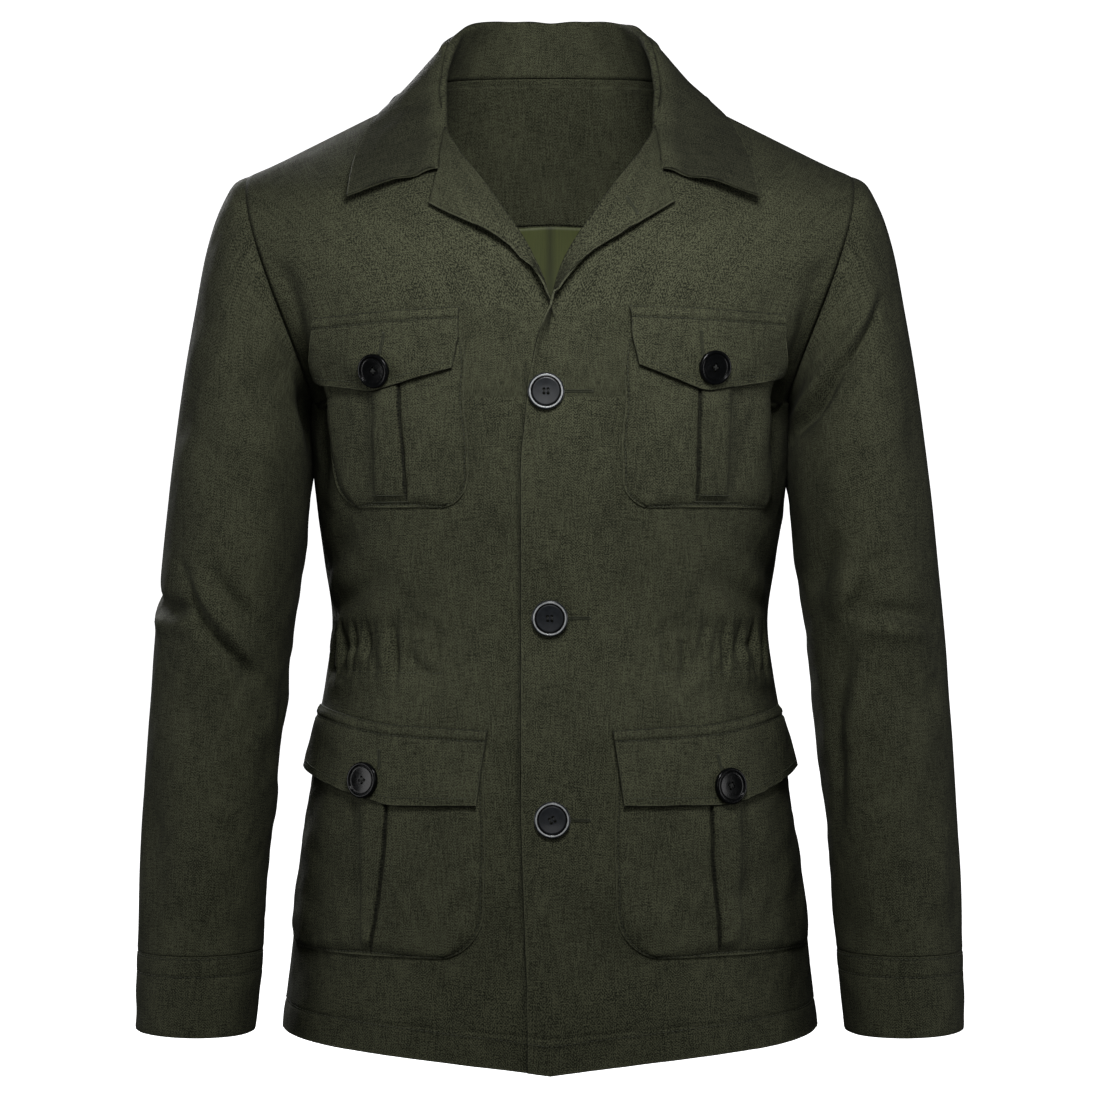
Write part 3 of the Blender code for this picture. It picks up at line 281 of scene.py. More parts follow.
CHEST_FLAP = {
    1: table(
        "across s_low z_low s_high z_high",
        (0, 0.061, -0.2025, 0.0505, -0.1608),
        (0.44, 0.112, -0.2208, 0.105, -0.1615),
        (1, 0.188, -0.2055, 0.171, -0.1628),
    ),
    -1: table(
        "across s_low z_low s_high z_high",
        (0, 0.0672, -0.2048, 0.0585, -0.1612),
        (0.48, 0.13, -0.2205, 0.115, -0.1628),
        (1, 0.1935, -0.2088, 0.1735, -0.1655),
    ),
}
HIP_FLAP = {
    side: table(
        "across s_low z_low s_high z_high",
        (0, 0.05, -0.5165, 0.0425, -0.462),
        (0.5, 0.125 + 0.009 * side, -0.5175, 0.12, -0.4585),
        (1, 0.216, -0.494, 0.201, -0.447),
    )
    for side in (1, -1)
}
FLAP_DROP = table(
    "share lift",
    (0, 0.0042),
    (0.35, 0.004),
    (0.72, 0.0034),
    (0.9, 0.0016),
    (1, 0),
)

# ---- Creases ----
# From one place to another along the cloth, how far the middle bows aside, half width, depth inwards (a ridge
# with a minus), and how much of a ridge lies beside it.
CREASE_COLUMNS = "row s_from z_from s_to z_to bow half_width depth ridge"
FRONT_CREASES = {
    1: table(
        CREASE_COLUMNS,
        (0, 0.184, -0.098, 0.206, -0.2, -0.008, 0.014, 0.0056, 0.1),
        (1, 0.205, -0.18, 0.19, -0.3, 0.01, 0.013, 0.0052, 0.35),
        (2, 0.15, -0.128, 0.19, -0.15, 0.004, 0.016, 0.0016, 0.3),
        (3, 0.15, -0.322, 0.215, -0.358, 0.004, 0.011, 0.0034, 0.4),
        (4, 0.12, -0.352, 0.2, -0.378, 0.005, 0.0085, 0.003, 0.5),
        (5, 0.028, -0.235, 0.052, -0.345, 0.006, 0.013, 0.0013, -0.3),
        (6, 0.06, -0.135, 0.098, -0.112, 0.003, 0.013, 0.001, 0.3),
        (7, 0.1, -0.438, 0.215, -0.444, -0.004, 0.008, 0.0026, -0.4),
        (8, 0.02, -0.56, 0.03, -0.672, 0.003, 0.015, 0.0014, 0.35),
        (9, 0.236, -0.52, 0.246, -0.665, -0.004, 0.012, 0.0022, 0.3),
        (10, 0.15, -0.633, 0.172, -0.688, 0.002, 0.012, 0.0014, 0.3),
        (11, 0.024, -0.4, 0.046, -0.458, -0.003, 0.012, 0.001, 0.4),
    ),
    -1: table(
        CREASE_COLUMNS,
        (0, 0.182, -0.106, 0.204, -0.204, -0.006, 0.015, 0.006, 0.12),
        (1, 0.206, -0.184, 0.194, -0.3, 0.008, 0.013, 0.0056, 0.35),
        (2, 0.146, -0.132, 0.184, -0.16, 0.004, 0.015, 0.0016, 0.3),
        (3, 0.15, -0.318, 0.222, -0.352, 0.004, 0.0115, 0.0034, 0.4),
        (4, 0.132, -0.356, 0.21, -0.38, 0.004, 0.0085, 0.0032, 0.5),
        (5, 0.03, -0.225, 0.05, -0.33, 0.005, 0.014, 0.0012, -0.3),
        (6, 0.055, -0.132, 0.1, -0.104, 0.003, 0.013, 0.001, 0.3),
        (7, 0.096, -0.44, 0.205, -0.448, -0.004, 0.008, 0.0014, -0.4),
        (8, 0.026, -0.575, 0.034, -0.68, 0.003, 0.014, 0.0012, 0.35),
        (9, 0.238, -0.5, 0.248, -0.66, -0.004, 0.012, 0.0024, 0.3),
        (10, 0.14, -0.634, 0.16, -0.69, 0.002, 0.012, 0.0012, 0.3),
        (11, 0.03, -0.395, 0.055, -0.455, -0.003, 0.013, 0.001, 0.4),
    ),
}
# Gathers of the waist: where each fold runs, from its upper to its lower end.
FRONT_GATHERS = {
    1: table(
        CREASE_COLUMNS,
        (0, 0.0845, -0.393, 0.087, -0.424, 0.001, 0.0032, 0.0022, -0.5),
        (1, 0.101, -0.39, 0.095, -0.434, -0.002, 0.0044, 0.0032, -0.6),
        (2, 0.118, -0.389, 0.108, -0.42, 0.0012, 0.0036, 0.0024, -0.6),
        (3, 0.133, -0.387, 0.136, -0.423, -0.0015, 0.0042, 0.0038, -0.6),
        (4, 0.15, -0.392, 0.148, -0.418, 0.0012, 0.005, 0.0046, -0.5),
        (5, 0.168, -0.386, 0.172, -0.424, 0.001, 0.0046, 0.0035, -0.6),
        (6, 0.186, -0.39, 0.188, -0.428, -0.0015, 0.005, 0.0032, -0.6),
        (7, 0.095, -0.432, 0.118, -0.41, -0.002, 0.005, 0.0024, 0.4),
        (8, 0.15, -0.404, 0.172, -0.398, 0.002, 0.005, 0.0027, 0.4),
    ),
    -1: table(
        CREASE_COLUMNS,
        (0, 0.082, -0.39, 0.0835, -0.42, 0.001, 0.0032, 0.0022, -0.5),
        (1, 0.101, -0.389, 0.104, -0.412, -0.001, 0.0036, 0.0024, -0.6),
        (2, 0.1205, -0.386, 0.118, -0.43, 0.0012, 0.004, 0.0057, -0.6),
        (3, 0.143, -0.392, 0.1425, -0.412, -0.001, 0.005, 0.0049, -0.5),
        (4, 0.159, -0.388, 0.162, -0.418, 0.0012, 0.004, 0.0032, -0.6),
        (5, 0.174, -0.39, 0.176, -0.424, 0.001, 0.0046, 0.0035, -0.6),
        (6, 0.19, -0.388, 0.19, -0.428, -0.0015, 0.005, 0.0032, -0.6),
        (7, 0.11, -0.403, 0.083, -0.428, -0.002, 0.0046, 0.003, 0.5),
        (8, 0.15, -0.402, 0.172, -0.407, -0.002, 0.005, 0.003, 0.4),
    ),
}
ELASTIC_START, ELASTIC_END, ELASTIC_TOP, ELASTIC_BOTTOM = 0.078, 0.2, -0.391, -0.422
ELASTIC_DRAW = 0.0016  # how far the elastic draws the cloth in between its stitch rows
BACK_CREASES = table(
    CREASE_COLUMNS,
    (0, -0.215, -0.15, -0.12, -0.25, 0.012, 0.014, 0.004, 0.35),
    (1, 0.212, -0.14, 0.128, -0.262, -0.012, 0.015, 0.0044, 0.35),
    (2, -0.235, -0.245, -0.14, -0.33, 0.01, 0.012, 0.003, 0.45),
    (3, 0.232, -0.255, 0.15, -0.322, -0.01, 0.011, 0.0028, 0.45),
    (4, -0.2, -0.365, -0.04, -0.392, 0.006, 0.01, 0.003, 0.5),
    (5, 0.19, -0.37, 0.02, -0.384, 0.008, 0.01, 0.0026, 0.5),
    (6, -0.15, -0.41, 0.03, -0.428, -0.006, 0.011, 0.0024, -0.4),
    (7, 0.205, -0.408, 0.06, -0.436, 0.006, 0.01, 0.0028, -0.4),
    (8, -0.125, -0.47, -0.14, -0.68, 0.006, 0.02, 0.0042, 0.45),
    (9, -0.035, -0.48, -0.03, -0.67, -0.005, 0.019, 0.0034, 0.4),
    (10, 0.06, -0.465, 0.072, -0.685, 0.006, 0.021, 0.0044, 0.45),
    (11, 0.165, -0.49, 0.184, -0.68, 0.004, 0.017, 0.0036, 0.45),
    (12, -0.226, -0.5, -0.238, -0.67, -0.004, 0.015, 0.003, 0.4),
    (13, -0.06, -0.07, -0.15, -0.105, 0.008, 0.016, 0.0018, 0.3),
    (14, 0.055, -0.066, 0.15, -0.1, -0.008, 0.016, 0.0018, 0.3),
    (15, 0.004, -0.2, -0.01, -0.33, 0.006, 0.016, 0.0016, 0.4),
)
# A sleeve's creases run from and to a turn in degrees from its outer line towards the front.
SLEEVE_CREASES = {
    -1: table(
        CREASE_COLUMNS,
        (0, 50, -0.338, 136, -0.426, 0.003, 0.0046, -0.0054, 0),
        (1, 45, -0.336, 76, -0.384, -0.004, 0.0056, 0.005, 0),
        (2, 66, -0.374, 126, -0.43, 0.002, 0.0062, 0.007, 0.3),
        (3, 10, -0.371, 70, -0.377, 0.003, 0.0066, 0.0076, 0.5),
        (4, 74, -0.34, 138, -0.4, 0.003, 0.0066, 0.0054, 0),
        (5, 128, -0.412, 108, -0.446, 0.002, 0.008, 0.0014, 0.6),
        (6, 40, -0.44, 100, -0.476, -0.004, 0.012, 0.003, 0.4),
        (7, 150, -0.19, 172, -0.262, 0.006, 0.01, 0.0066, 0.5),
        (8, 105, -0.128, 158, -0.212, 0.006, 0.012, 0.0051, 0.45),
        (9, 60, -0.225, 96, -0.3, 0.004, 0.02, 0.0024, 0.4),
        (10, 35, -0.5, 60, -0.61, 0.004, 0.016, 0.0027, 0.4),
        (11, 110, -0.52, 132, -0.6, 0.003, 0.012, 0.0027, 0.4),
        (12, 215, -0.35, 320, -0.388, 0.006, 0.01, 0.0072, 0.6),
        (13, 225, -0.398, 315, -0.426, -0.005, 0.01, 0.0057, 0.6),
        (14, 235, -0.44, 300, -0.452, 0.004, 0.011, 0.0036, 0.5),
        (15, 255, -0.13, 205, -0.235, 0.01, 0.013, 0.0069, 0.5),
        (16, 290, -0.175, 235, -0.29, 0.008, 0.014, 0.0042, 0.45),
        (17, 300, -0.5, 280, -0.605, 0.004, 0.015, 0.003, 0.4),
        (18, 196, -0.3, 206, -0.35, 0.003, 0.008, 0.0039, 0.5),
        (19, 160, -0.44, 190, -0.5, 0.004, 0.009, 0.0039, 0.5),
        (20, 344, -0.35, 376, -0.372, 0.003, 0.008, 0.0042, 0.5),
        (21, 135, -0.262, 225, -0.262, 0, 0.035, -0.0045, 0),
    ),
    1: table(
        CREASE_COLUMNS,
        (0, 40, -0.388, 106, -0.38, -0.004, 0.007, 0.0054, 0.85),
        (1, 100, -0.352, 118, -0.384, 0.002, 0.0062, 0.0039, -0.7),
        (2, 112, -0.325, 158, -0.372, -0.004, 0.013, 0.0066, 0.35),
        (3, 84, -0.332, 96, -0.346, 0.001, 0.005, 0.0033, -0.5),
        (4, 120, -0.396, 150, -0.47, 0.004, 0.011, 0.0054, 0.4),
        (5, 58, -0.152, 108, -0.206, 0.003, 0.0052, 0.0068, -0.7),
        (6, 104, -0.202, 158, -0.25, 0.003, 0.0056, 0.0084, -0.75),
        (7, 128, -0.168, 162, -0.214, 0.004, 0.009, 0.006, 0.4),
        (8, 50, -0.25, 84, -0.318, 0.004, 0.02, 0.0021, 0.4),
        (9, 40, -0.43, 86, -0.452, 0.004, 0.012, 0.0024, 0.4),
        (10, 60, -0.505, 92, -0.6, 0.004, 0.015, 0.0024, 0.4),
        (11, 140, -0.45, 152, -0.54, 0.003, 0.01, 0.0045, 0.4),
        (12, 212, -0.345, 318, -0.38, 0.006, 0.01, 0.0069, 0.6),
        (13, 222, -0.392, 318, -0.418, -0.005, 0.011, 0.0054, 0.6),
        (14, 240, -0.43, 296, -0.448, 0.004, 0.01, 0.0036, 0.5),
        (15, 258, -0.125, 208, -0.24, 0.01, 0.013, 0.0075, 0.5),
        (16, 295, -0.18, 240, -0.285, 0.008, 0.014, 0.0045, 0.45),
        (17, 296, -0.51, 276, -0.61, 0.004, 0.015, 0.003, 0.4),
        (18, 198, -0.295, 208, -0.352, 0.003, 0.008, 0.0039, 0.5),
        (19, 30, -0.54, 34, -0.615, 0.003, 0.013, 0.0021, 0.4),
        (21, 135, -0.262, 225, -0.262, 0, 0.035, -0.0045, 0),
    ),
}
SLEEVE_GIRTH = 0.40

# ---- How finely the cloth is divided ----
ROW_STEP, FRONT_STEP, BACK_STEP, SLEEVE_STEP = 0.0033, 0.0024, 0.0036, 0.0033
FINE_STEP, FINE_REACH = 0.0009, 0.0035
LEVELS_BELOW, LEVELS_ABOVE = 0.467, 0.245  # the height of the side seam, and from the underarm to the neck
HEM_ROW = 0.0215  # how far the hem's stitches lie above its edge
HEM_DIP, HEM_SWELL, SWELL_ROW = 0.0006, 0.0003, 0.011  # their depth, and how far and where the hem swells
EDGE_ROW = 0.0028  # how far the stitches of a pocket or flap lie in from its edge
FLAP_SEAM_ROW = 0.0092  # the same, of the row below a flap's upper edge
CUFF_ROWS = (0.0022, 0.0150)


# ---- The cut ----
def armhole(turn, back):
    """A point of the armhole, turned in degrees from the shoulder's tip down to the underarm."""
    angle = np.radians(turn)
    middle, arm = (SHOULDER_TIP + UNDERARM) / 2, (SHOULDER_TIP - UNDERARM) / 2
    depth = ARMHOLE_BACK if back else -ARMHOLE_FRONT
    x = middle[0] + arm[0] * np.cos(angle)
    x = x + ARMHOLE_BULGE * np.sin(angle) ** 2 + ARMHOLE_LEAN * np.sin(2 * angle)
    return np.stack([x, depth * np.sin(angle), middle[2] + arm[2] * np.cos(angle)], axis=-1)


def v_of_level(z):
    """How far along the side seam (0 to 1) and armhole (1 to 2) a level lies."""
    middle, arm = (SHOULDER_TIP + UNDERARM) / 2, (SHOULDER_TIP - UNDERARM) / 2
    seam = (z - HEM_Z) / (UNDERARM[2] - HEM_Z)
    above = 2 - np.degrees(np.arccos(np.clip((z - middle[2]) / arm[2], -1, 1))) / 180
    return np.where(z <= UNDERARM[2], seam, above)


def side_line(v, back):
    """The side seam and then the armhole: a panel's outer edge."""
    z = HEM_Z + (UNDERARM[2] - HEM_Z) * np.minimum(v, 1)
    seam = np.stack([read(BODY, "x_side", z), 0 * z, z], axis=-1)
    return np.where((v > 1)[..., None], armhole(180 * (2 - np.maximum(v, 1)), back), seam)


def section(u, fullness, end):
    """How far across and how far back a rounded section has gone at u, each from 0 to 1."""
    power, last = 2 / fullness, np.radians(end)
    angle = np.clip(u, 0, 1) * last
    near, far = (np.maximum(np.cos(turned), 0) ** power for turned in (angle, last))
    return np.sin(angle) ** power / np.sin(last) ** power, (1 - near) / (1 - far)


def front(u, v):
    """The outer face of the front on the wearer's left: u from the centre or roll line to the side."""
    u, v = np.broadcast_arrays(np.asarray(u, float), np.asarray(v, float))
    side = side_line(v, False)
    share = (v - V_AT) / (2 - V_AT)
    above = (share > 0)[..., None]
    level = np.stack([0 * v, read(BODY, "y_front", side[..., 2]), side[..., 2]], axis=-1)
    level[..., 0] = ROLL_LINE["x"][0] * smooth_step(V_AT - 0.1, V_AT, v)
    edge = np.stack([read(ROLL_LINE, axis, share) for axis in "xyz"], axis=-1)
    inner = np.where(above, edge, level)
    across, deep = section(u, read(SECTION, "front", v), read(SECTION, "front_end", v))
    x = inner[..., 0] + (side[..., 0] - inner[..., 0]) * across
    y = inner[..., 1] + (side[..., 1] - inner[..., 1]) * deep
    z = inner[..., 2] + (side[..., 2] - inner[..., 2]) * across
    dip = FRONT_HEM_DIP * np.clip(1 - across, 0, 1) ** 1.6 - SIDE_HEM_RISE * across**10
    return np.stack([x, y, z - dip * (1 - smooth_step(0, 0.12, v))], axis=-1)


MAP_S, MAP_Z = np.arange(0, 0.272, 0.001), np.arange(-0.660, -0.130, 0.0015)


@functools.cache
def front_map():
    """The front's points by distance along the cloth and by level, with the ways that they face."""
    u = np.linspace(0, 1, 401)
    rows = []
    for v in v_of_level(MAP_Z):
        line = front(u, v)
        rows.append(front(np.interp(MAP_S, arc_of(line[:, :2]), u), v))
    points = np.array(rows)
    out = np.cross(np.gradient(points, axis=1), np.gradient(points, axis=0))
    return points, out / np.maximum(np.linalg.norm(out, axis=-1, keepdims=True), 1e-12)


def front_at(s, z):
    """Points of the front, and the ways that they face, by distance along the cloth and by level."""
    across = np.clip((s - MAP_S[0]) / (MAP_S[1] - MAP_S[0]), 0, len(MAP_S) - 1.001)
    up = np.clip((z - MAP_Z[0]) / (MAP_Z[1] - MAP_Z[0]), 0, len(MAP_Z) - 1.001)
    j, i = across.astype(int), up.astype(int)
    fj, fi = (across - j)[..., None], (up - i)[..., None]
    low, high = (
        [grid[i + k, j] * (1 - fj) + grid[i + k, j + 1] * fj for grid in front_map()] for k in (0, 1)
    )
    return [a * (1 - fi) + b * fi for a, b in zip(low, high)]


def neck_and_shoulder(u):
    """The back's top edge: half of the neck and then the shoulder seam."""
    angle = np.clip(u / NECK_SHARE, 0, 1) * math.pi / 2
    drop = NAPE_Z - NECK_POINT[2]
    neck = np.stack(
        [NECK_POINT[0] * np.sin(angle), NAPE_Y * np.cos(angle), NAPE_Z - drop * (1 - np.cos(angle))], axis=-1
    )
    share = np.clip((u - NECK_SHARE) / (1 - NECK_SHARE), 0, 1)[..., None]
    return np.where((u > NECK_SHARE)[..., None], NECK_POINT + (SHOULDER_TIP - NECK_POINT) * share, neck)


def back(u, v):
    """The outer face of the back's half on the wearer's left: u from the centre (0) to the side (1)."""
    u, v = np.broadcast_arrays(np.asarray(u, float), np.asarray(v, float))
    side = side_line(v, True)
    low = np.stack([0 * v, read(BODY, "y_back", side[..., 2]), side[..., 2]], axis=-1)
    high = np.stack([0 * v, read(NAPE, "y", v), read(NAPE, "z", v)], axis=-1)
    inner = np.where((v > 1)[..., None], high, low)

    def row(at, middle, end):
        """A level's section from the centre to the side."""
        across, deep = section(u, read(SECTION, "back", at), read(SECTION, "back_end", at))
        depth = middle[..., 1] + (end[..., 1] - middle[..., 1]) * deep
        rise = middle[..., 2] + (end[..., 2] - middle[..., 2]) * across**1.5
        return np.stack([end[..., 0] * across, depth, rise], axis=-1)

    last = row(np.array((2.0,)), np.array([[0, NAPE_Y, NAPE_Z]]), SHOULDER_TIP[None])
    blend = np.clip((v - 1.25) / 0.75, 0, 1) ** 2
    points = row(v, inner, side) + (neck_and_shoulder(u) - last) * blend[..., None]
    rise = SIDE_HEM_RISE * (np.abs(points[..., 0]) / side[..., 0]) ** 10 * (1 - smooth_step(0, 0.12, v))
    return points + rise[..., None] * (0, 0, 1)


def sleeve(turn, ring):
    """A point of the sleeve on the wearer's left, turned in degrees from its outer line towards the front."""
    turn, ring = np.broadcast_arrays(np.asarray(turn, float), np.asarray(ring, float))
    value = {name: read(SLEEVE, name, ring) for name in SLEEVE if name not in ("ring", "keys")}
    angle = np.radians(turn)
    cos, sin = np.cos(angle), np.sin(angle)
    x = (value["x_out"] + value["x_in"]) / 2 + (value["x_out"] - value["x_in"]) / 2 * cos
    z = (value["z_out"] + value["z_in"]) / 2 + (value["z_out"] - value["z_in"]) / 2 * cos
    middle = (value["y_front"] + value["y_back"]) / 2 * np.minimum(ring, 1)
    reach = np.where(sin > 0, middle - value["y_front"], value["y_back"] - middle)
    x = x + value["bulge"] * sin**2 + value["lean"] * 2 * np.abs(sin) * cos
    return np.stack([x, middle - reach * sin, z], axis=-1)


# ---- Relief: creases, gathers and unevenness as depths inwards ----
def creases(rows, s, z, scale=1.0):
    """How far inwards the creases of a table press the cloth at each place."""
    depth = np.zeros(np.broadcast(s, z).shape)
    for k in range(len(rows["keys"])):
        row = {name: column[k] for name, column in rows.items()}
        start = np.array((row["s_from"] * scale, row["z_from"]))
        end = np.array((row["s_to"] * scale, row["z_to"]))
        way = end - start
        length = math.hypot(*way)
        x, y = s * scale - start[0], z - start[1]
        along = np.clip((x * way[0] + y * way[1]) / length**2, 0, 1)
        aside = (x * way[1] - y * way[0]) / length - row["bow"] * 4 * along * (1 - along)
        past = np.hypot(x - along * way[0], y - along * way[1])
        past = np.sqrt(np.maximum(past**2 - ((x * way[1] - y * way[0]) / length) ** 2, 0))
        across = aside / row["half_width"]
        fade = np.sin(math.pi * np.clip(along, 0.04, 0.96)) ** 0.7
        fade = fade * bell(past, row["half_width"])
        trough = bell(across, 1)
        side = np.sign(row["ridge"])
        ridge = abs(row["ridge"]) * bell(across * side - 1.7, 1.1)
        depth = depth + row["depth"] * fade * (trough - ridge)
    return depth


WAVES = np.random.default_rng(7).uniform(0, 2 * math.pi, (4, 9, 2))


def uneven(x, y, length, seed=0):
    """A soft unevenness from -1 to 1 with waves of about this length."""
    total = 0
    for turn, phase in WAVES[seed % 4]:
        stretch = 0.7 + 0.6 * phase / (2 * math.pi)
        along = x * math.cos(turn) + y * math.sin(turn)
        total = total + np.sin(2 * math.pi * along / (length * stretch) + 3 * phase)
    return total / 5


def front_relief(side, s, z):
    """How far inwards a front's cloth lies from the plain cut, at each place."""
    depth = creases(FRONT_CREASES[side], s, z) + creases(FRONT_GATHERS[side], s, z)
    across = smooth_step(ELASTIC_START - 0.006, ELASTIC_START + 0.01, s) * (1 - smooth_step(0.195, 0.215, s))
    above = 1 - smooth_step(ELASTIC_TOP, ELASTIC_TOP + 0.010, z)
    level = smooth_step(ELASTIC_BOTTOM - 0.012, ELASTIC_BOTTOM, z) * above
    pucker = 0.0007 * np.sin(s * 2 * math.pi / 0.0088 + 2.2 * uneven(s, z, 0.05, 2)) + ELASTIC_DRAW
    rows = stitch_dip(z, ELASTIC_TOP) + stitch_dip(z, ELASTIC_BOTTOM)
    depth = depth + across * (level * pucker + rows)
    calm = smooth_step(0.0, 0.05, s) * 0.7 + 0.3
    broad, middling = uneven(s + 3 * side, z, 0.085, 1), uneven(s + side, z, 0.042, 2)
    fine = uneven(s + side, z, 0.019, 3)
    return depth + calm * (0.0011 * broad + 0.0006 * middling + 0.00024 * fine)


# How far the creases take to begin beside a seam, and below a top or at an end.
FRONT_HOLDS, BACK_HOLDS, SLEEVE_HOLDS = (0.024, 0.015), (0.012, 0.02), (0.016, 0.02)


def creased(seam, top, holds):
    """How much the creases show, at these distances from a seam and from a top."""
    return smooth_step(0, holds[0], seam) * smooth_step(0, holds[1], top)


def row_shade(distance, row, width=0.0009):
    """How much painted shade darkens cloth along a row of stitches or deep beside an edge."""
    return 0.55 * bell(distance - row, width)


def stitch_dip(distance, row, depth=0.0008, width=0.0012):
    """The dip that a row of stitches draws into the cloth."""
    return depth * bell(distance - row, width)


# ---- Grids ----
def stops(length, step, near=(), fine=FINE_STEP, reach=FINE_REACH):
    """Places from 0 to a length, a step apart, and finer near some of them."""
    x = np.linspace(0, length, 4001)
    density = np.full_like(x, 1 / step)
    for place in near:
        closer = np.exp(-(((x - place) / reach) ** 4))
        density = np.maximum(density, 1 / step + (1 / fine - 1 / step) * closer)
    total = np.concatenate([[0], np.cumsum((density[1:] + density[:-1]) / 2 * np.diff(x))])
    return np.interp(np.linspace(0, total[-1], int(math.ceil(total[-1])) + 1), total, x)


def snapped(values, *targets):
    """The values, with the nearest to each target moved onto it."""
    values = values.copy()
    for target in targets:
        values[np.abs(values - target).argmin()] = target
    return values


def body_rows(step=ROW_STEP):
    """The v of each row of a front or of the back, from the hem up."""
    heights = stops(LEVELS_BELOW + LEVELS_ABOVE, step, near=(0, HEM_ROW, LEVELS_BELOW + LEVELS_ABOVE))
    v = np.where(heights < LEVELS_BELOW, heights / LEVELS_BELOW, 1 + (heights - LEVELS_BELOW) / LEVELS_ABOVE)
    return snapped(v, 1, V_AT, FACING_END, ROLL_END)


EDGE_ROUNDING = 0.42  # how far a free edge is rounded, in shares of its thickness
RUB_WIDTH = 0.0012  # how far in from a free edge the cloth is rubbed
SEWN_EDGE = 0.004  # how far in from a seam an edge's rounding begins


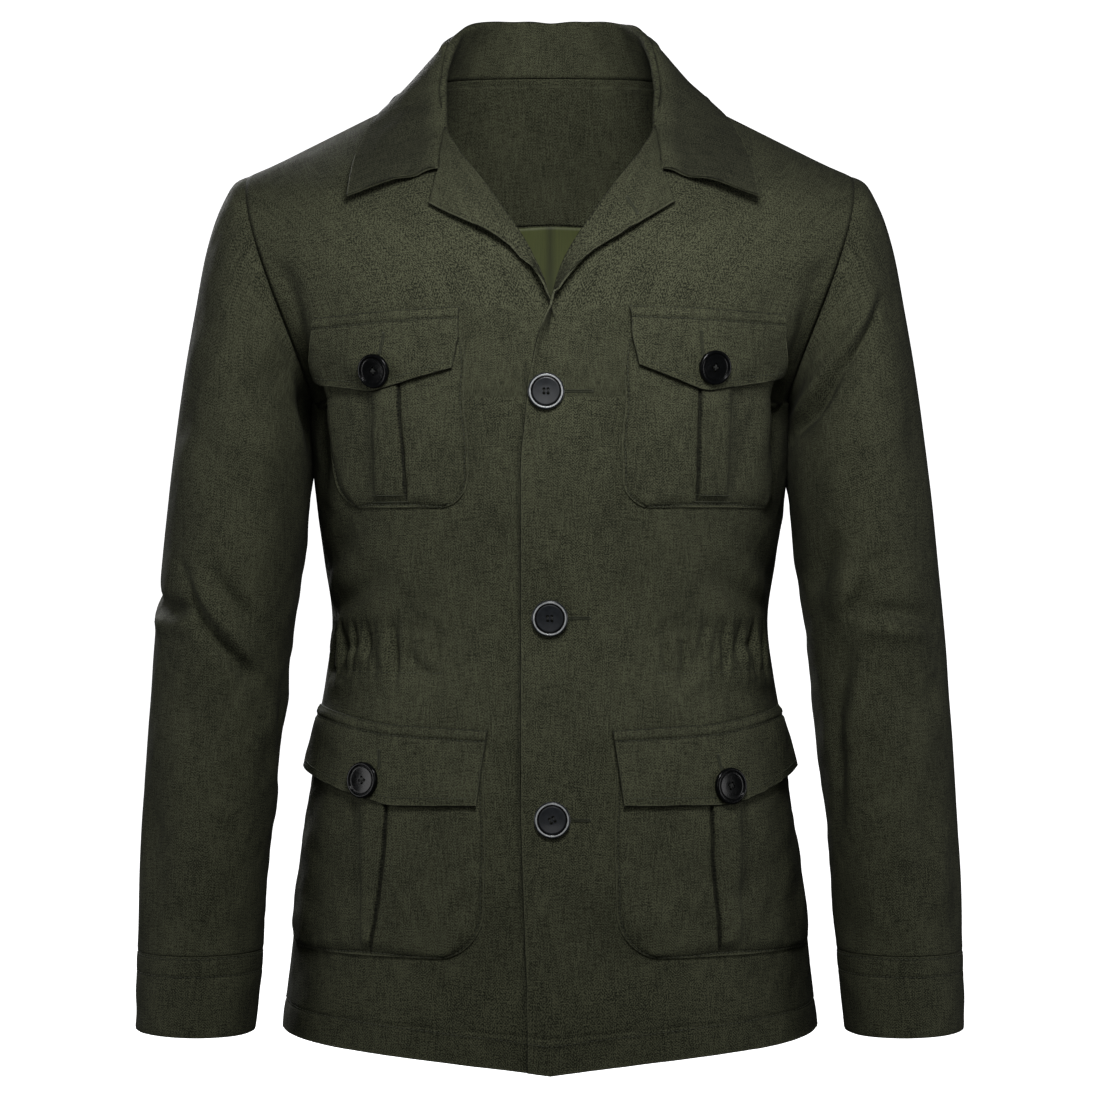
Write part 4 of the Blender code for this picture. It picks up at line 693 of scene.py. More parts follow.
class Cloth:
    """A piece of cloth as a grid of points on its outer face. Its grain is the place in the flat cut."""

    def __init__(self, name, points, grain, ply, shown=None):
        rows, columns = points.shape[:2]
        self.name, self.points, self.grain = name, points, grain
        self.ply = np.broadcast_to(ply, (rows, columns))
        self.shown = np.ones((rows - 1, columns - 1), bool) if shown is None else shown
        _, number = np.unique(np.round(points.reshape(-1, 3), 6), axis=0, return_inverse=True)
        self.number = number.reshape(rows, columns)
        self.count = self.number.max() + 1
        # edge: above zero, rubbed wear, partly a painted highlight; below zero, painted shade.
        self.edge, self.round = np.zeros((rows, columns)), np.ones((rows, columns))

    def normals(self):
        """The way that each point faces, shared where the grid meets itself."""
        p = self.points
        cross = np.cross(p[1:, 1:] - p[:-1, :-1], p[1:, :-1] - p[:-1, 1:]) * self.shown[..., None]
        total = np.zeros_like(p)
        for r, c in ((0, 0), (0, 1), (1, 0), (1, 1)):
            total[r : len(p) - 1 + r, c : p.shape[1] - 1 + c] += cross
        sums = np.zeros((self.count, 3))
        np.add.at(sums, self.number.ravel(), total.reshape(-1, 3))
        sums /= np.maximum(np.linalg.norm(sums, axis=1, keepdims=True), 1e-12)
        return sums[self.number]

    def press(self, depth):
        """Moves the cloth inwards by a depth at each point."""
        self.points = self.points - self.normals() * np.broadcast_to(depth, self.points.shape[:2])[..., None]
        return self

    def reach(self, edge):
        """Each point's distance in from one edge: start and end are the first and last columns, low and high
        the first and last rows."""
        axis = 1 if edge in ("start", "end") else 0
        arc = arcs_of(self.points, axis)
        if edge in ("end", "high"):
            arc = np.take(arc, [-1], axis=axis) - arc
        return arc

    def nearest(self, edges):
        """Each point's distance in from the nearest of some edges."""
        return np.min([self.reach(edge) for edge in edges], axis=0)

    def row_along(self, edge, distance, others=()):
        """The grid places of a row of stitches at a distance in from an edge, kept off the other edges."""
        reach, far = self.reach(edge), [self.reach(other) for other in others]
        lengthwise = edge in ("start", "end")
        grid = reach if lengthwise else reach.T
        flip = edge in ("end", "high")
        places = []
        for k, line in enumerate(grid):
            at = np.interp(distance, line[::-1] if flip else line, np.arange(len(line))[:: -1 if flip else 1])
            near = int(round(float(at)))
            r, c = (k, near) if lengthwise else (near, k)
            if all(other[r, c] >= distance * 0.98 for other in far):
                places.append((k, at) if lengthwise else (at, k))
        return np.array(places)

    def at(self, places, inner=False):
        """The points and outward ways of the cloth at some places between its grid lines."""
        r, c = places[:, 0], places[:, 1]
        i = np.clip(np.floor(r).astype(int), 0, self.points.shape[0] - 2)
        j = np.clip(np.floor(c).astype(int), 0, self.points.shape[1] - 2)
        fr, fc = (r - i)[:, None], (c - j)[:, None]
        normals = self.normals()
        if inner:
            grids = (self.points - normals * self.ply[..., None], -normals)
        else:
            grids = (self.points, normals)
        columns = [[g[i, j + k] * (1 - fr) + g[i + 1, j + k] * fr for k in (0, 1)] for g in grids]
        return [left * (1 - fc) + right * fc for left, right in columns]

    def mirror(self):
        """The same piece on the wearer's right."""
        self.points = (self.points * (-1, 1, 1))[:, ::-1]
        self.grain, self.ply, self.shown = self.grain[:, ::-1], self.ply[:, ::-1], self.shown[:, ::-1]
        self.number, self.edge, self.round = self.number[:, ::-1], self.edge[:, ::-1], self.round[:, ::-1]
        return self

    def build(self, look):
        """The closed shell: the outer face, the inner one, and a rounded wall along each open edge."""
        r, c = np.nonzero(self.shown)
        width = self.points.shape[1]
        first = r * width + c
        corners = np.stack([first, first + 1, first + width + 1, first + width], axis=1)
        ids = self.number.ravel()[corners]
        used, ids = np.unique(ids, return_inverse=True)
        ids = ids.reshape(-1, 4)
        where = np.zeros(self.count, int)
        where[self.number.ravel()] = np.arange(self.number.size)
        pick = where[used]
        points, normals = self.points.reshape(-1, 3)[pick], self.normals().reshape(-1, 3)[pick]
        ply, worn = self.ply.ravel()[pick], self.edge.ravel()[pick]
        rounding = EDGE_ROUNDING * (ply * self.round.ravel()[pick])[:, None]
        grain = self.grain.reshape(-1, 2)
        faces, loops = [], []
        for quad, corner in zip(ids.tolist(), corners.tolist()):
            keep = [k for k in range(4) if quad[k] != quad[k - 1]]
            if len(keep) > 2:
                faces.append([quad[k] for k in keep])
                loops.append([corner[k] for k in keep])
        rim = rim_of(faces)
        count = len(points)
        outward = np.zeros_like(points)
        for a, b in rim:
            way = np.cross(points[b] - points[a], normals[a] + normals[b])
            outward[[a, b]] += way / max(np.linalg.norm(way), 1e-12)
        on_rim = sorted({k for edge in rim for k in edge})
        outward[on_rim] /= np.maximum(np.linalg.norm(outward[on_rim], axis=1, keepdims=True), 1e-12)
        pull = SEAM_GAP / 2 + rounding
        outer = points - outward * pull
        inner = outer - normals * ply[:, None]
        middle = (outer + inner) / 2 + outward * rounding
        number = {k: 2 * count + i for i, k in enumerate(on_rim)}
        corner_of = {}
        for face, corner in zip(faces, loops):
            for k, place in zip(face, corner):
                corner_of[k] = place
        all_faces, all_loops = list(faces), list(loops)
        for face, corner in zip(faces, loops):
            all_faces.append([k + count for k in face[::-1]])
            all_loops.append(corner[::-1])
        for a, b in rim:
            all_faces += [[b, a, number[a], number[b]], [number[b], number[a], a + count, b + count]]
            all_loops += [[corner_of[b], corner_of[a], corner_of[a], corner_of[b]]] * 2
        everything = np.concatenate([outer, inner, middle[on_rim]])
        obj = mesh_object(self.name, everything, all_faces, look)
        layer = obj.data.uv_layers.new(name="grain")
        layer.data.foreach_set("uv", grain[np.concatenate(all_loops)].ravel())
        # The worn attribute carries rubbed wear with a painted highlight, and painted shade below zero.
        wear_and_painted_light = obj.data.attributes.new("worn", "FLOAT", "POINT")
        wear_and_painted_light.data.foreach_set("value", np.concatenate([worn, worn, worn[on_rim]]))
        return obj


def rim_of(faces):
    """The open edges of some faces, each as its face runs along it."""
    edges = {}
    for face in faces:
        for a, b in zip(face, face[1:] + face[:1]):
            edges[(a, b)] = True
    return [edge for edge in edges if edge[::-1] not in edges]


def mesh_object(name, points, faces, look):
    """A piece with its place in its mesh, in one material."""
    mesh = bpy.data.meshes.new(name)
    mesh.from_pydata([tuple(p) for p in points], [], faces)
    mesh.shade_smooth()
    mesh.materials.append(look)
    obj = bpy.data.objects.new(name, mesh)
    bpy.context.scene.collection.objects.link(obj)
    return obj


# ---- Sewing ----
DASH_AIM = 0.4  # how far ahead and behind a stitch takes its way from, in shares of its length
DASH_SHOULDER, DASH_FLAT, DASH_FOOT = 0.3, 0.1, -0.9  # where a stitch's section lies, and its side and foot


def along(points, pitch):
    """The distances along a line, and those of even places a pitch apart."""
    arc = arc_of(points)
    count = max(int(arc[-1] / pitch), 1)
    return arc, (np.arange(count) + 0.5) * arc[-1] / count


def dashes(points, out, pitch=None):
    """Stitches along a line: each a short rounded dash that dives into the cloth at both ends."""
    length = size("stitch_length")
    arc, centres = along(points, pitch or size("stitch_pitch"))
    ahead = point_along(arc, points, centres + DASH_AIM * length)
    behind = point_along(arc, points, centres - DASH_AIM * length)
    place, facing = point_along(arc, points, centres), point_along(arc, out, centres)
    return dash_mesh(place, ahead - behind, facing, length, size("stitch_width"), size("stitch_rise"))


def dash_mesh(centres, way, out, length, width, rise):
    """One mesh of like dashes, lengthwise along their ways, as points and faces."""
    way = way / np.maximum(np.linalg.norm(way, axis=1, keepdims=True), 1e-12)
    out = out / np.maximum(np.linalg.norm(out, axis=1, keepdims=True), 1e-12)
    aside = np.cross(out, way)
    shape = [(-0.5, 0, -1.0)]
    for t in (-DASH_SHOULDER, DASH_SHOULDER):
        shape += [(t, 0.5, DASH_FLAT), (t, 0, 1.0), (t, -0.5, DASH_FLAT), (t, 0, DASH_FOOT)]
    shape.append((0.5, 0, -1.0))
    shape = np.array(shape)
    points = centres[:, None] + way[:, None] * (shape[:, 0] * length)[None, :, None]
    points = points + aside[:, None] * (shape[:, 1] * width)[None, :, None]
    points = points + out[:, None] * (shape[:, 2] * rise + rise * 0.5)[None, :, None]
    faces = []
    for k in range(4):
        n = (k + 1) % 4
        faces += [[0, 1 + n, 1 + k], [1 + k, 1 + n, 5 + n, 5 + k], [5 + k, 5 + n, 9]]
    total = [[j + 10 * i for j in face] for i in range(len(centres)) for face in faces]
    return points.reshape(-1, 3), total


def sewn(name, parts, look):
    """One object from several runs of stitches."""
    points, faces, start = [], [], 0
    for places, quads in parts:
        points.append(places)
        faces += [[k + start for k in face] for face in quads]
        start += len(places)
    return mesh_object(name, np.concatenate(points), faces, look)


def rows_of_stitches(cloth, rows):
    """Runs of stitches: each row is an edge, a distance in from it and the edges that it keeps off."""
    made = []
    for edge, distance, others in rows:
        places = cloth.row_along(edge, distance, others)
        if len(places) > 2:
            made.append(dashes(*cloth.at(places)))
    return made


def dips(cloth, rows, depth=0.0005):
    """The dips of those rows, with the uneven puckers that sewing draws beside them."""
    total = 0
    for edge, distance, others in rows:
        reach = cloth.reach(edge)
        far = np.min([cloth.reach(other) for other in others], axis=0) if others else 1.0
        inside = smooth_step(distance * 0.5, distance, far)
        g = cloth.grain
        ripple = 1 + 0.5 * uneven(g[..., 0], g[..., 1], 0.011, 3)
        total = total + stitch_dip(reach, distance, depth) * inside * ripple
    return total


# ---- Looks: node groups and materials ----
class Wiring:
    """Adds and joins the nodes of one tree."""

    def __init__(self, tree):
        self.tree = tree

    def node(self, kind, inputs=(), **settings):
        """A new node with its settings and what goes into its sockets."""
        made = self.tree.nodes.new(kind)
        for name, value in settings.items():
            setattr(made, name, value)  # first, because these settle which sockets there are
        for socket, value in dict(inputs).items():
            self.feed(made.inputs[socket], value)
        return made

    def feed(self, socket, value):
        """Joins a socket to another node, or sets its value."""
        if isinstance(value, bpy.types.NodeSocket):
            self.tree.links.new(value, socket)
        else:
            socket.default_value = value

    def math(self, operation, first, second=0.0, clamp=False):
        """The result of one operation on two values."""
        ends = {0: first, 1: second}
        return self.node("ShaderNodeMath", ends, operation=operation, use_clamp=clamp).outputs[0]

    def scaled(self, vector, scale):
        """A vector stretched along each axis."""
        return self.node("ShaderNodeVectorMath", {0: vector, 1: scale}, operation="MULTIPLY").outputs[0]

    def noise(self, vector, scale, detail=2.0, low=0.32, high=0.68):
        """Noise stretched by a scale along each axis, brought to the range 0 to 1."""
        ends = {"Vector": self.scaled(vector, scale), "Scale": 1.0, "Detail": detail}
        made = self.node("ShaderNodeTexNoise", ends)
        return self.span(made.outputs["Fac"], low, high)

    def yarns(self, across, along, width, waves, low, high):
        """Light and dark stretches along each yarn, with so many waves a metre, from 0 to 1."""
        yarn = self.math("FLOOR", self.math("DIVIDE", across, width))
        shift = self.node("ShaderNodeTexWhiteNoise", {"W": yarn}, noise_dimensions="1D").outputs["Value"]
        place = self.math("ADD", self.math("MULTIPLY", along, waves), self.math("MULTIPLY", shift, 900.0))
        ends = {"W": place, "Scale": 1.0, "Detail": 2.0}
        made = self.node("ShaderNodeTexNoise", ends, noise_dimensions="1D")
        return self.span(made.outputs["Fac"], low, high)

    def span(self, value, low, high, to_low=0.0, to_high=1.0):
        """A value brought from one range to another, and kept within it."""
        ends = {"Value": value, "From Min": low, "From Max": high, "To Min": to_low, "To Max": to_high}
        return self.node("ShaderNodeMapRange", ends, clamp=True).outputs["Result"]

    def mix(self, factor, first, second, blend="MIX"):
        """Two colours mixed by a factor."""
        made = self.node("ShaderNodeMix", data_type="RGBA", blend_type=blend)
        self.feed(made.inputs[0], factor)
        self.feed(made.inputs[6], first)
        self.feed(made.inputs[7], second)
        return made.outputs[2]


def new_group(name, inputs, outputs):
    """A shader node group with named sockets: its wiring, its inputs by name and its output node."""
    tree = bpy.data.node_groups.new(name, "ShaderNodeTree")
    kinds = {"V": "NodeSocketVector", "F": "NodeSocketFloat", "C": "NodeSocketColor"}
    for socket, kind in inputs:
        tree.interface.new_socket(name=socket, in_out="INPUT", socket_type=kinds[kind])
    for socket, kind in outputs:
        tree.interface.new_socket(name=socket, in_out="OUTPUT", socket_type=kinds[kind])
    wiring = Wiring(tree)
    return wiring, wiring.node("NodeGroupInput").outputs, wiring.node("NodeGroupOutput").inputs


HERRINGBONE_WIDTH, TWILL_PITCH = 0.0060, 0.0021
# How much each part of the weave has in its light and dark.
WARP_SHARE, WEFT_SHARE, FLECK_SHARE, RIB_SHARE, CLOUD_SHARE, SLUB_SHARE = 0.15, 0.11, 0.54, 0.12, 0.08, 0.07


def slubbed_weave():
    """A weave of uneven yarns: each yarn has its own light and dark stretches, and some have slubs."""
    name = "Slubbed weave"
    if name in bpy.data.node_groups:
        return bpy.data.node_groups[name]
    inputs = [("Grain", "V"), ("Dark yarn", "C"), ("Light yarn", "C"), ("Contrast", "F"), ("Yarn", "F")]
    w, given, result = new_group(name, inputs, [("Colour", "C"), ("Height", "F"), ("Roughness", "F")])
    grain = given["Grain"]
    parts = w.node("ShaderNodeSeparateXYZ", {0: grain}).outputs
    slub_yarn = size("slub_yarn")
    warp = w.yarns(parts["X"], parts["Y"], given["Yarn"], 60.0, 0.30, 0.70)
    weft = w.yarns(parts["Y"], parts["X"], given["Yarn"], 75.0, 0.30, 0.70)
    warp_slub = w.yarns(parts["X"], parts["Y"], slub_yarn, 34.0, 0.58, 0.76)
    weft_slub = w.yarns(parts["Y"], parts["X"], slub_yarn, 40.0, 0.62, 0.78)
    fleck = w.noise(grain, (1300, 1100, 1), 2.0, 0.30, 0.70)
    cloud = w.noise(grain, (31, 17, 1), 3.0, 0.30, 0.70)
    zigzag = w.math("PINGPONG", parts["X"], HERRINGBONE_WIDTH)
    rib = w.math("SINE", w.math("MULTIPLY", w.math("ADD", parts["Y"], zigzag), 2 * math.pi / TWILL_PITCH))
    rib = w.span(rib, -1.0, 1.0)
    level = w.math("MULTIPLY", warp, WARP_SHARE)
    slubs = w.math("SUBTRACT", warp_slub, weft_slub)
    shares = ((weft, WEFT_SHARE), (fleck, FLECK_SHARE), (rib, RIB_SHARE), (cloud, CLOUD_SHARE))
    for part, share in (*shares, (slubs, SLUB_SHARE)):
        level = w.math("ADD", level, w.math("MULTIPLY", part, share))
    stretched = w.math("MULTIPLY", w.math("SUBTRACT", level, 0.5), given["Contrast"])
    level = w.math("ADD", stretched, 0.5, clamp=True)
    w.feed(result["Colour"], w.mix(level, given["Dark yarn"], given["Light yarn"]))
    height = w.math("ADD", w.math("MULTIPLY", rib, 0.4), w.math("MULTIPLY", fleck, 0.5))
    height = w.math("ADD", height, w.math("MULTIPLY", w.math("ADD", warp, weft), 0.35))
    thick = w.math("MULTIPLY", w.math("ADD", warp_slub, weft_slub), 0.4)
    w.feed(result["Height"], w.math("ADD", height, thick))
    w.feed(result["Roughness"], w.span(level, 0.0, 1.0, 0.95, 0.82))
    return w.tree


def edge_wear_and_painted_light():
    """Lighter, rubbed cloth along its turned edges, partly a painted highlight, and painted shade deep in its
    grooves and along its stitch rows.
    """
    name = "Rubbed edges"
    if name in bpy.data.node_groups:
        return bpy.data.node_groups[name]
    inputs = [("Colour", "C"), ("Worn", "F"), ("Grain", "V"), ("Rubbed", "C")]
    w, given, result = new_group(name, inputs, [("Colour", "C")])
    patches = w.noise(given["Grain"], (160, 160, 1), 3.0, 0.25, 0.70)
    # Above zero: rubbed wear, partly a painted highlight where the turned edges catch the light.
    amount = w.math("MULTIPLY", given["Worn"], w.span(patches, 0.0, 1.0, 0.35, 1.0), clamp=True)
    # Below zero: painted shade, darker where shade falls in grooves, beside edges and along stitch rows.
    shade = w.span(given["Worn"], -1.0, 0.0, 0.30, 1.0)
    rubbed = w.mix(amount, given["Colour"], given["Rubbed"])
    w.feed(result["Colour"], w.mix(1.0, rubbed, shade, "MULTIPLY"))
    return w.tree


def new_material(name):
    """A material with its wiring and its Principled shader."""
    made = bpy.data.materials.new(name)
    made.use_nodes = True
    made.node_tree.nodes.clear()
    wiring = Wiring(made.node_tree)
    shader = wiring.node("ShaderNodeBsdfPrincipled")
    output = wiring.node("ShaderNodeOutputMaterial")
    wiring.feed(output.inputs["Surface"], shader.outputs["BSDF"])
    return made, wiring, shader


def opaque(colour):
    """A colour with its alpha."""
    return (*colour[:3], 1.0)


# How far the weave's light and dark are stretched, and how dark painted shade makes cloth that turns away
# from the view.
CONTRAST, SLOPE_PAINTED_SHADE = 3.2, 0.40


def woven(name, dark, light, rubbed):
    """The jacket's own cloth."""
    made = bpy.data.materials.get(name)
    if made:
        return made
    made, w, shader = new_material(name)
    grain = w.node("ShaderNodeUVMap", uv_map="grain").outputs["UV"]
    values = {"Grain": grain, "Dark yarn": opaque(dark), "Light yarn": opaque(light), "Contrast": CONTRAST}
    weave = w.node("ShaderNodeGroup", node_tree=slubbed_weave())
    for socket, value in {**values, "Yarn": size("yarn")}.items():
        w.feed(weave.inputs[socket], value)
    # The worn attribute: rubbed wear, partly a painted highlight, and painted shade below zero.
    worn = w.node("ShaderNodeAttribute", attribute_name="worn").outputs["Fac"]
    wear_and_painted_light = w.node("ShaderNodeGroup", node_tree=edge_wear_and_painted_light())
    values = {"Colour": weave.outputs["Colour"], "Worn": worn, "Grain": grain, "Rubbed": opaque(rubbed)}
    for socket, value in values.items():
        w.feed(wear_and_painted_light.inputs[socket], value)
    # Painted shade: the colour grows darker where the surface turns away from the camera, as frontal light
    # falls off.
    slope = w.node("ShaderNodeLayerWeight", {"Blend": 0.5}).outputs["Facing"]
    turned = w.span(slope, 0.12, 0.95, 1.0, SLOPE_PAINTED_SHADE)
    w.feed(shader.inputs["Base Color"], w.mix(1.0, wear_and_painted_light.outputs["Colour"], turned, "MULTIPLY"))
    w.feed(shader.inputs["Roughness"], weave.outputs["Roughness"])
    bump = w.node("ShaderNodeBump", {"Height": weave.outputs["Height"], "Strength": 0.7, "Distance": 0.0004})
    w.feed(shader.inputs["Normal"], bump.outputs["Normal"])
    shader.inputs["Specular IOR Level"].default_value = 0.22
    shader.inputs["Sheen Weight"].default_value = 0.05
    shader.inputs["Sheen Roughness"].default_value = 0.45
    shader.inputs["Sheen Tint"].default_value = opaque(light)
    return made


def lining_cloth(colours):
    """A smooth twill lining with a faint sheen."""
    made = bpy.data.materials.get("lining twill")
    if made:
        return made
    made, w, shader = new_material("lining twill")
    grain = w.node("ShaderNodeUVMap", uv_map="grain").outputs["UV"]
    streaks = w.noise(grain, (900, 60, 1), 2.0)
    cloud = w.noise(grain, (40, 25, 1), 3.0)
    level = w.math("ADD", w.math("MULTIPLY", streaks, 0.5), w.math("MULTIPLY", cloud, 0.5))
    light = [min(channel * 1.35, 1) for channel in colours.lining]
    # Painted shade: the worn attribute below zero darkens the lining along its centre pleat.
    shade = w.span(w.node("ShaderNodeAttribute", attribute_name="worn").outputs["Fac"], -1.0, 0.0, 0.30, 1.0)
    cloth = w.mix(level, opaque(colours.lining), opaque(light))
    w.feed(shader.inputs["Base Color"], w.mix(1.0, cloth, shade, "MULTIPLY"))
    w.feed(shader.inputs["Roughness"], w.span(level, 0.0, 1.0, 0.62, 0.50))
    bump = w.node("ShaderNodeBump", {"Height": streaks, "Strength": 0.25, "Distance": 0.0002})
    w.feed(shader.inputs["Normal"], bump.outputs["Normal"])
    shader.inputs["Specular IOR Level"].default_value = 0.35
    shader.inputs["Sheen Weight"].default_value = 0.1
    return made


def thread(name, colour):
    """Spun sewing thread."""
    made = bpy.data.materials.get(name)
    if made:
        return made
    made, w, shader = new_material(name)
    place = w.node("ShaderNodeTexCoord").outputs["Object"]
    twist = w.noise(place, (1900, 1900, 1900), 2.0)
    light = [min(channel * 1.7, 1) for channel in colour]
    w.feed(shader.inputs["Base Color"], w.mix(twist, opaque(colour), opaque(light)))
    w.feed(shader.inputs["Roughness"], w.span(twist, 0.0, 1.0, 0.75, 0.55))
    bump = w.node("ShaderNodeBump", {"Height": twist, "Strength": 0.4, "Distance": 0.0001})
    w.feed(shader.inputs["Normal"], bump.outputs["Normal"])
    return made


def button_plastic(name, colour, smoothest, gloss):
    """Polished dark plastic with faint marks of turning and handling."""
    made = bpy.data.materials.get(name)
    if made:
        return made
    made, w, shader = new_material(name)
    place = w.node("ShaderNodeTexCoord").outputs["Object"]
    cloud = w.noise(place, (260, 260, 260), 3.0)
    scratch = w.noise(place, (3000, 220, 900), 2.0, 0.55, 0.80)
    light = [min(channel * 1.6, 1) for channel in colour]
    w.feed(shader.inputs["Base Color"], w.mix(cloud, opaque(colour), opaque(light)))
    rough = w.span(cloud, 0.0, 1.0, smoothest, smoothest + 0.08)
    rough = w.math("ADD", rough, w.math("MULTIPLY", scratch, 0.12))
    w.feed(shader.inputs["Roughness"], rough)
    bump = w.node("ShaderNodeBump", {"Height": scratch, "Strength": 0.15, "Distance": 0.0001})
    w.feed(shader.inputs["Normal"], bump.outputs["Normal"])
    shader.inputs["Specular IOR Level"].default_value = gloss
    shader.inputs["Coat Weight"].default_value = gloss / 2
    shader.inputs["Coat Roughness"].default_value = 0.10
    return made


def body_cloth(context):
    """The cloth of body, collar, pockets and flaps."""
    colours = context.scene.jacket_colours
    return woven("body cloth", colours.cloth_dark, colours.cloth_light, colours.rubbed)


SLEEVE_SHADE = 0.88  # painted shade: the sleeves' copy of the cloth is made a little darker than the body's


def sleeve_cloth(context):
    """The same cloth, made a little darker for the sleeves as painted shade."""
    colours = context.scene.jacket_colours
    dark = [channel * SLEEVE_SHADE for channel in colours.cloth_dark]
    light = [channel * SLEEVE_SHADE for channel in colours.cloth_light]
    return woven("sleeve cloth", dark, light, colours.rubbed)


def sewing_thread(context):
    """The thread of every row of stitches."""
    return thread("sewing thread", context.scene.jacket_colours.thread)


def settle(piece, slot, *nodes):
    """The piece stands for its nodes and rides with the jacket; the slot is not used."""
    if nodes:
        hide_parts(*nodes)
    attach(piece, "root")
    return piece


# ---- Fronts ----
def past_centre(row, distances):
    """Points past the centre line, over where the opposite front lies."""
    y, z = (np.interp(distances, row[:, 0], row[:, axis]) for axis in (1, 2))
    return np.stack([-np.asarray(distances), y, z], axis=-1)


@functools.cache
def chest_tree():
    """The chest's outer face as a close mesh, on which the lapels and collar lie."""
    u, v = np.linspace(0, 1, 90), np.linspace(0.9, 2, 150)
    grids = [front(u[None], v[:, None]), back(u[None], v[:, None])[:, ::-1]]
    points = np.concatenate([g.reshape(-1, 3) for g in grids])
    faces = []
    for start in (0, grids[0][..., 0].size):
        for r in range(len(v) - 1):
            k = start + r * len(u)
            faces += [(k + c, k + c + 1, k + c + len(u) + 1, k + c + len(u)) for c in range(len(u) - 1)]
    return BVHTree.FromPolygons([tuple(p) for p in points], faces)


def on_chest(x, z, lift):
    """The chest's point at x and z, seen from the front, and stood off by the lift."""
    place, out, _, _ = chest_tree().ray_cast(Vector((x, -1, z)), Vector((0, 1, 0)))
    return np.array(place + out * lift)


def lapel_row(lapel, v, row, out, shares):
    """The strip from the roll line to the free edge at one level, between lying flat and turned over."""
    turned = float(np.clip(read(lapel, "turned", v), 0, 1))
    root = row[0]
    flat = past_centre(row, read(lapel, "flat", v) * shares)
    flat[0] = root
    free = on_chest(read(lapel, "x", v), read(lapel, "z", v), read(lapel, "lift", v))
    back_over = free - root - out * ((free - root) @ out)
    back_over /= np.linalg.norm(back_over)
    beta = math.pi * np.clip(shares / ROLL_SHARE, 0, 1)[:, None]
    arc = root - back_over * ROLL_RADIUS * np.sin(beta) + out * ROLL_RADIUS * (1 - np.cos(beta))
    end = root + out * 2 * ROLL_RADIUS
    notch = on_chest(NOTCH_X, NOTCH_Z, 0.004)
    leaf = np.clip((shares - ROLL_SHARE) / (1 - ROLL_SHARE), 0, 1)[:, None]
    straight = end + (free - end) * leaf
    bent = np.where(leaf < 2 / 3, end + (notch - end) * leaf * 1.5, notch + (free - notch) * (leaf * 3 - 2))
    cornered = smooth_step(ROLL_END - 1 / 12, ROLL_END, v)
    over = np.where(shares[:, None] < ROLL_SHARE, arc, straight + (bent - straight) * cornered)
    swell = math.sin(math.pi * turned) * 0.45 * OVERLAP * shares[:, None]
    belly = out * 0.0022 * np.sin(math.pi * leaf) * turned
    return flat * (1 - turned) + over * turned + out * swell + belly


def front_columns():
    """Shares of a front's width: close ones where the waist is gathered and towards the side seam."""
    u = np.linspace(0, 1, 801)
    waist = front(u, v_of_level(np.array(-0.405)))
    arc = arc_of(waist)
    return np.interp(stops(arc[-1], FRONT_STEP, near=(arc[-1],)), arc, u)


def strip_stops():
    """Shares of a lapel's width, from its roll to its free edge."""
    return stops(1, 0.05, near=(0, ROLL_SHARE, 1), fine=0.022, reach=0.10)


LAST_STRAIGHT = 1 + 2 / 12  # the last level where a front's edge isn't a lapel's yet


def upper_width(z):
    """How far the upper front passes the centre line at each level."""
    narrower = smooth_step(-0.50, HEM_Z, z) + smooth_step(-0.28, -0.21, z)
    return OVERLAP - UPPER_NARROWING * narrower


